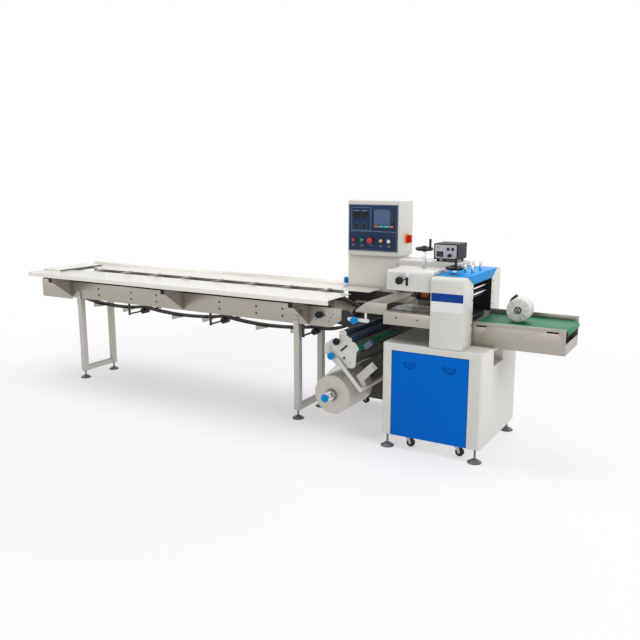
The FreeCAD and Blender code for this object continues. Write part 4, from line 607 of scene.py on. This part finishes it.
def chain_route():
    """Centre line of the pusher chain, from the same sizes as the solid chain."""
    top, tail_r, drive_r = 833.0, 84.5, 46.5
    tail_x, drive_x, drive_z, slope_x = -3030.0, -331.0, 720.0, -478.0
    dx, dz = drive_x - slope_x, drive_z - top
    slope = -math.degrees(math.atan2(dz, dx)) - math.degrees(math.asin(drive_r / math.hypot(dx, dz)))
    points = [(tail_x + 60 * i, top) for i in range(int((slope_x - tail_x) / 60))] + [(slope_x, top)]
    points += [(drive_x + drive_r * math.sin(math.radians(slope + (180 - slope) * i / 12)),
                drive_z + drive_r * math.cos(math.radians(slope + (180 - slope) * i / 12)))
               for i in range(13)]
    supports = [(drive_x, drive_z - drive_r, 0), (-645.0, 600.0, 30.0), (-1405.0, 600.0, 30.0),
                (-2180.0, 600.0, 30.0), (tail_x, top - 2 * tail_r, 48.0)]
    for (xa, za, _), (xb, zb, sag) in zip(supports, supports[1:]):
        for i in range(1, 17):
            t = i / 16
            points.append((xa + (xb - xa) * t, za + (zb - za) * t - 4 * sag * t * (1 - t)))
    points += [(tail_x - tail_r * math.sin(math.radians(a)), top - tail_r - tail_r * math.cos(math.radians(a)))
               for a in range(12, 180, 12)]
    return points


def chain_links():
    """Roller chain made of one link repeated along its route by Geometry Nodes."""
    link_kit = bmesh.new()
    for y in (-13.0, -9.0, 9.0, 13.0):
        outline = []
        for end in (1, -1):
            for k in range(7):
                a = math.radians(-90 + 30 * k)
                outline.append((end * (9.5 + 10 * math.cos(a)), end * 10 * math.sin(a)))
        front = [link_kit.verts.new((x / 1000, (y - 1.2) / 1000, (z - 3) / 1000)) for x, z in outline]
        back = [link_kit.verts.new((x / 1000, (y + 1.2) / 1000, (z - 3) / 1000)) for x, z in outline]
        link_kit.faces.new(front)
        link_kit.faces.new(list(reversed(back)))
        for k in range(len(outline)):
            m = (k + 1) % len(outline)
            link_kit.faces.new((front[k], back[k], back[m], front[m]))
    pin = bmesh.ops.create_cone(link_kit, segments=10, radius1=0.0055, radius2=0.0055, depth=0.030,
                                cap_ends=True)["verts"]
    bmesh.ops.rotate(link_kit, verts=pin, matrix=Matrix.Rotation(math.pi / 2, 3, "X"))
    bmesh.ops.translate(link_kit, verts=pin, vec=(0, 0, -0.003))
    bmesh.ops.recalc_face_normals(link_kit, faces=link_kit.faces)
    unit_mesh = bpy.data.meshes.new("one link")
    link_kit.to_mesh(unit_mesh)
    link_kit.free()
    unit = bpy.data.objects.new("one link", unit_mesh)
    route = chain_route()
    line = bpy.data.curves.new("chain route", "CURVE")
    line.dimensions = "3D"
    spline = line.splines.new("POLY")
    spline.points.add(len(route) - 1)
    for point, (x, z) in zip(spline.points, route):
        point.co = (*at(x, 330, z), 1)
    spline.use_cyclic_u = True
    tree = bpy.data.node_groups.new("links along a route", "GeometryNodeTree")
    tree.interface.new_socket("Geometry", in_out="INPUT", socket_type="NodeSocketGeometry")
    pitch = tree.interface.new_socket("Pitch", in_out="INPUT", socket_type="NodeSocketFloat")
    part = tree.interface.new_socket("Link", in_out="INPUT", socket_type="NodeSocketObject")
    tree.interface.new_socket("Geometry", in_out="OUTPUT", socket_type="NodeSocketGeometry")
    add, link = tree.nodes.new, tree.links.new
    group_in, group_out = add("NodeGroupInput"), add("NodeGroupOutput")
    spots = add("GeometryNodeCurveToPoints")
    spots.mode = "LENGTH"
    link(group_in.outputs["Geometry"], spots.inputs["Curve"])
    link(group_in.outputs["Pitch"], spots.inputs["Length"])
    info = add("GeometryNodeObjectInfo")
    link(group_in.outputs["Link"], info.inputs["Object"])
    along = add("FunctionNodeAlignRotationToVector")
    along.axis = "X"
    link(spots.outputs["Tangent"], along.inputs["Vector"])
    copies = add("GeometryNodeInstanceOnPoints")
    link(spots.outputs["Points"], copies.inputs["Points"])
    link(info.outputs["Geometry"], copies.inputs["Instance"])
    link(along.outputs[0], copies.inputs["Rotation"])
    real = add("GeometryNodeRealizeInstances")
    link(copies.outputs[0], real.inputs[0])
    paint = add("GeometryNodeSetMaterial")
    paint.inputs["Material"].default_value = CHAIN_GREY
    link(real.outputs[0], paint.inputs[0])
    link(paint.outputs[0], group_out.inputs[0])
    holder = bpy.data.objects.new("chain_route_curve", line)
    bpy.context.scene.collection.objects.link(holder)
    bpy.context.scene.collection.objects.link(unit)
    modifier = holder.modifiers.new("links", "NODES")
    modifier.node_group = tree
    modifier[pitch.identifier] = 0.019
    modifier[part.identifier] = unit
    bpy.context.view_layer.update()
    mesh = bpy.data.meshes.new_from_object(
        holder.evaluated_get(bpy.context.evaluated_depsgraph_get()))
    bpy.data.objects.remove(holder)
    bpy.data.objects.remove(unit)
    chain = bpy.data.objects.new("roller_chain_links", mesh)
    bpy.context.scene.collection.objects.link(chain)
    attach(chain, "machine")
    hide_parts("infeed_chain")
    return chain


def discharge_details():
    """Screws in the slots of the discharge side plate."""
    lo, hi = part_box("discharge_plates")
    y = (lo.y - SHIFT.y) * 1000
    screws = Kit("discharge_screws", "machine", "zinc_steel", ZINC)
    for x, z in ((590, 757), (985, 761), (622, 724), (760, 722)):
        screws.hex_bolt((x, y, z), -Y, 5.0)
    screws.done()


def brush_bristles():
    """Radial bristles of the product brush, placed by Geometry Nodes round its hub."""
    lo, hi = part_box("brush_wheel")
    centre = (lo + hi) / 2
    tree = bpy.data.node_groups.new("radial bristles", "GeometryNodeTree")
    face = tree.interface
    face.new_socket("Geometry", in_out="OUTPUT", socket_type="NodeSocketGeometry")
    inputs = {}
    for name, kind, value in (("Rows", "NodeSocketInt", 9), ("Per Row", "NodeSocketInt", 110),
                              ("Hub Radius", "NodeSocketFloat", 0.016),
                              ("Tip Radius", "NodeSocketFloat", 0.0645),
                              ("Width", "NodeSocketFloat", hi.y - lo.y - 0.006),
                              ("Thickness", "NodeSocketFloat", 0.0008), ("Seed", "NodeSocketInt", 7)):
        socket = face.new_socket(name, in_out="INPUT", socket_type=kind)
        inputs[name] = (socket.identifier, value)
    add = tree.nodes.new
    link = tree.links.new
    group_in, group_out = add("NodeGroupInput"), add("NodeGroupOutput")
    count = add("ShaderNodeMath")
    count.operation = "MULTIPLY"
    link(group_in.outputs["Rows"], count.inputs[0])
    link(group_in.outputs["Per Row"], count.inputs[1])
    points = add("GeometryNodePoints")
    link(count.outputs[0], points.inputs["Count"])
    index = add("GeometryNodeInputIndex")
    turn = add("ShaderNodeMath")
    turn.operation = "MULTIPLY"
    turn.inputs[1].default_value = 2.399963
    link(index.outputs[0], turn.inputs[0])
    along = add("FunctionNodeRandomValue")
    along.data_type = "FLOAT"
    link(group_in.outputs["Seed"], along.inputs["Seed"])
    along.inputs[2].default_value = -0.5
    along.inputs[3].default_value = 0.5
    spread = add("ShaderNodeMath")
    spread.operation = "MULTIPLY"
    link(along.outputs[1], spread.inputs[0])
    link(group_in.outputs["Width"], spread.inputs[1])
    cosine, sine = add("ShaderNodeMath"), add("ShaderNodeMath")
    cosine.operation, sine.operation = "COSINE", "SINE"
    link(turn.outputs[0], cosine.inputs[0])
    link(turn.outputs[0], sine.inputs[0])
    direction = add("ShaderNodeCombineXYZ")
    link(cosine.outputs[0], direction.inputs[0])
    link(sine.outputs[0], direction.inputs[2])
    middle = add("ShaderNodeMath")
    middle.operation = "ADD"
    link(group_in.outputs["Hub Radius"], middle.inputs[0])
    link(group_in.outputs["Tip Radius"], middle.inputs[1])
    half = add("ShaderNodeMath")
    half.operation = "MULTIPLY"
    half.inputs[1].default_value = 0.5
    link(middle.outputs[0], half.inputs[0])
    reach = add("ShaderNodeVectorMath")
    reach.operation = "SCALE"
    link(direction.outputs[0], reach.inputs[0])
    link(half.outputs[0], reach.inputs["Scale"])
    shift = add("ShaderNodeCombineXYZ")
    link(spread.outputs[0], shift.inputs[1])
    place = add("ShaderNodeVectorMath")
    place.operation = "ADD"
    link(reach.outputs[0], place.inputs[0])
    link(shift.outputs[0], place.inputs[1])
    link(place.outputs[0], points.inputs["Position"])
    length = add("ShaderNodeMath")
    length.operation = "SUBTRACT"
    link(group_in.outputs["Tip Radius"], length.inputs[0])
    link(group_in.outputs["Hub Radius"], length.inputs[1])
    bristle = add("GeometryNodeMeshCone")
    bristle.inputs["Vertices"].default_value = 4
    link(group_in.outputs["Thickness"], bristle.inputs["Radius Bottom"])
    link(group_in.outputs["Thickness"], bristle.inputs["Radius Top"])
    link(length.outputs[0], bristle.inputs["Depth"])
    lower = add("GeometryNodeTransform")
    drop = add("ShaderNodeMath")
    drop.operation = "MULTIPLY"
    drop.inputs[1].default_value = -0.5
    link(length.outputs[0], drop.inputs[0])
    down = add("ShaderNodeCombineXYZ")
    link(drop.outputs[0], down.inputs[2])
    link(bristle.outputs["Mesh"], lower.inputs["Geometry"])
    link(down.outputs[0], lower.inputs["Translation"])
    point_out = add("FunctionNodeAlignRotationToVector")
    point_out.axis = "Z"
    link(direction.outputs[0], point_out.inputs["Vector"])
    spots = add("GeometryNodeInstanceOnPoints")
    link(points.outputs[0], spots.inputs["Points"])
    link(lower.outputs["Geometry"], spots.inputs["Instance"])
    link(point_out.outputs[0], spots.inputs["Rotation"])
    real = add("GeometryNodeRealizeInstances")
    link(spots.outputs[0], real.inputs[0])
    paint = add("GeometryNodeSetMaterial")
    paint.inputs["Material"].default_value = BRISTLE
    link(real.outputs[0], paint.inputs[0])
    link(paint.outputs[0], group_out.inputs[0])
    holder = bpy.data.objects.new("brush_bristles", bpy.data.meshes.new("brush_bristles"))
    bpy.context.scene.collection.objects.link(holder)
    modifier = holder.modifiers.new("radial bristles", "NODES")
    modifier.node_group = tree
    for identifier, value in inputs.values():
        modifier[identifier] = value
    bpy.context.view_layer.update()
    mesh = bpy.data.meshes.new_from_object(
        holder.evaluated_get(bpy.context.evaluated_depsgraph_get()))
    holder.modifiers.clear()
    mesh.transform(Matrix.Translation(centre))
    holder.data = mesh
    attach(holder, "brush_wheel")
    hub = Kit("brush_hub", "brush_wheel", "dark_plastic", DARK_PLASTIC)
    cx, cz = (centre.x - SHIFT.x) * 1000, (centre.z - SHIFT.z) * 1000
    y0, y1 = (lo.y - SHIFT.y) * 1000, (hi.y - SHIFT.y) * 1000
    hub.turned((cx, y0, cz), Y, [(0, 0), (16, 0), (20, 3), (20, y1 - y0 - 3), (16, y1 - y0), (0, y1 - y0)])
    hub.done()
    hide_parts("brush_wheel")


def film_webs():
    """The film as it runs from the roll to the guide roller, and from the press roller upwards."""
    spans = (("film_from_roll", (-456, 333), (-294, 497), 62, 368, 14),
             ("film_to_former", (-297, 667), (-70, 752), 62, 368, 10))
    for name, (xa, za), (xb, zb), y0, y1, rows in spans:
        bm = bmesh.new()
        grid = []
        for i in range(rows + 1):
            t = i / rows
            x, z = xa + (xb - xa) * t, za + (zb - za) * t
            bow = -4.0 * math.sin(math.pi * t)
            grid.append([bm.verts.new(at(x - bow * 0.3, y0 + (y1 - y0) * j / 24,
                                         z + bow + 1.2 * math.sin(j * 1.9 + t * 5) * math.sin(math.pi * t)))
                         for j in range(25)])
        for low, high in zip(grid, grid[1:]):
            for j in range(24):
                bm.faces.new((low[j], low[j + 1], high[j + 1], high[j]))
        mesh = bpy.data.meshes.new(name)
        bm.to_mesh(mesh)
        bm.free()
        mesh.materials.append(FILM_WEB)
        mesh.shade_smooth()
        web = bpy.data.objects.new(name, mesh)
        bpy.context.scene.collection.objects.link(web)
        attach(web, "machine")


def paint_above(piece, height, mat):
    """Cuts a piece's faces at a height and paints what is above it."""
    bm = bmesh.new()
    bm.from_mesh(piece.data)
    bmesh.ops.bisect_plane(bm, geom=list(bm.verts) + list(bm.edges) + list(bm.faces),
                           plane_co=(0, 0, height), plane_no=(0, 0, 1))
    bm.to_mesh(piece.data)
    bm.free()
    piece.data.materials.append(mat)
    for face in piece.data.polygons:
        if face.center.z > height:
            face.material_index = 1


def paint_guide_bar():
    """The web guide's bar and post are white metal and only its knob is blue."""
    piece = bpy.data.objects["guide_knobs_skin"]
    piece.data.materials.append(PLATE_WHITE)
    front = at(0, 53.0, 0).y
    for face in piece.data.polygons:
        if front < face.center.y < front + 0.008 and at(-300, 0, 0).x < face.center.x < at(-100, 0, 0).x:
            face.material_index = 1


paint_above(bpy.data.objects["rear_frame_skin"], 0.832, POWDER)
paint_guide_bar()
unwinder_details()
main_switch_details()
handwheel_details()
tunnel_skirt()
deck_film()
chain_links()
control_panel_details()
head_details()
display_box_details()
infeed_details()
discharge_details()
brush_bristles()
film_webs()

# ---------------------------------------------------------------- stage, light and camera
floor_mesh = bpy.data.meshes.new("floor")
ring = 96
verts = [(0, 0, 0)]
for radius in (4.0, 9.0, 40.0):
    verts += [(radius * math.cos(2 * math.pi * i / ring), radius * math.sin(2 * math.pi * i / ring), 0)
              for i in range(ring)]
faces = [(0, 1 + i, 1 + (i + 1) % ring) for i in range(ring)]
for band in range(2):
    a, b = 1 + band * ring, 1 + (band + 1) * ring
    faces += [(a + i, b + i, b + (i + 1) % ring, a + (i + 1) % ring) for i in range(ring)]
floor_mesh.from_pydata(verts, [], faces)
floor = bpy.data.objects.new("floor", floor_mesh)
floor.location.z = -0.0005
bpy.context.scene.collection.objects.link(floor)
paper = bpy.data.materials.new("white studio floor")
paper.use_nodes = True
tree = paper.node_tree
shader = tree.nodes["Principled BSDF"]
shader.inputs["Base Color"].default_value = (0.93, 0.93, 0.93, 1)
shader.inputs["Roughness"].default_value = 0.8
shader.inputs["Specular IOR Level"].default_value = 0.1
glow = tree.nodes.new("ShaderNodeEmission")
glow.inputs["Color"].default_value = (1, 1, 1, 1)
glow.inputs["Strength"].default_value = 1.0
place = tree.nodes.new("ShaderNodeTexCoord")
far = tree.nodes.new("ShaderNodeVectorMath")
far.operation = "LENGTH"
tree.links.new(place.outputs["Object"], far.inputs[0])
fade = tree.nodes.new("ShaderNodeMapRange")
fade.interpolation_type = "SMOOTHSTEP"
fade.inputs["From Min"].default_value = 1.0
fade.inputs["From Max"].default_value = 3.6
fade.inputs["To Min"].default_value = 0.45
tree.links.new(far.outputs["Value"], fade.inputs["Value"])
blend = tree.nodes.new("ShaderNodeMixShader")
tree.links.new(fade.outputs["Result"], blend.inputs[0])
tree.links.new(shader.outputs[0], blend.inputs[1])
tree.links.new(glow.outputs[0], blend.inputs[2])
tree.links.new(blend.outputs[0], tree.nodes["Material Output"].inputs["Surface"])
floor_mesh.materials.append(paper)

world = bpy.data.worlds.new("studio")
bpy.context.scene.world = world
world.use_nodes = True
tree = world.node_tree
seen = tree.nodes["Background"]
seen.inputs["Color"].default_value = (1, 1, 1, 1)
seen.inputs["Strength"].default_value = 1.0
lit = tree.nodes.new("ShaderNodeBackground")
lit.inputs["Color"].default_value = (0.95, 0.97, 1.0, 1)
lit.inputs["Strength"].default_value = 0.30
rays = tree.nodes.new("ShaderNodeLightPath")
pick = tree.nodes.new("ShaderNodeMixShader")
bright = tree.nodes.new("ShaderNodeMath")
bright.operation = "MAXIMUM"
tree.links.new(rays.outputs["Is Camera Ray"], bright.inputs[0])
tree.links.new(rays.outputs["Is Glossy Ray"], bright.inputs[1])
tree.links.new(bright.outputs[0], pick.inputs[0])
tree.links.new(lit.outputs[0], pick.inputs[1])
tree.links.new(seen.outputs[0], pick.inputs[2])
tree.links.new(pick.outputs[0], tree.nodes["World Output"].inputs["Surface"])


def softbox(name, place, target, size, power):
    data = bpy.data.lights.new(name, "AREA")
    data.shape = "RECTANGLE"
    data.size, data.size_y = size
    data.energy = power
    lamp = bpy.data.objects.new(name, data)
    lamp.location = place
    lamp.rotation_euler = (Vector(target) - Vector(place)).to_track_quat("-Z", "Y").to_euler()
    bpy.context.scene.collection.objects.link(lamp)
    return lamp


softbox("right key softbox", (5.2, -1.6, 3.4), (0.4, 0, 0.7), (3.0, 2.5), 120)
softbox("overhead softbox", (-0.5, 0.2, 4.6), (-0.4, 0, 0.8), (5.5, 2.5), 140)
softbox("front fill softbox", (0.5, -5.6, 2.2), (-0.2, 0, 0.6), (4.5, 2.0), 24)
softbox("left fill softbox", (-5.0, -2.8, 2.4), (-0.8, 0, 0.7), (3.0, 2.5), 26)
softbox("rear softbox", (1.5, 4.8, 3.0), (0, 0, 0.8), (5.0, 2.0), 36)

camera_data = bpy.data.cameras.new("camera")
camera_data.lens = 40.85
camera_data.sensor_width = 36.0
camera_data.clip_end = 200.0
camera = bpy.data.objects.new("camera", camera_data)
camera.location = (2.84965, -4.140, 1.580)
camera.rotation_euler = (math.radians(78.914), 0, math.radians(30.266))
bpy.context.scene.collection.objects.link(camera)
bpy.context.scene.camera = camera
bpy.context.scene.view_settings.view_transform = "Standard"
bpy.context.scene.view_settings.look = "None"
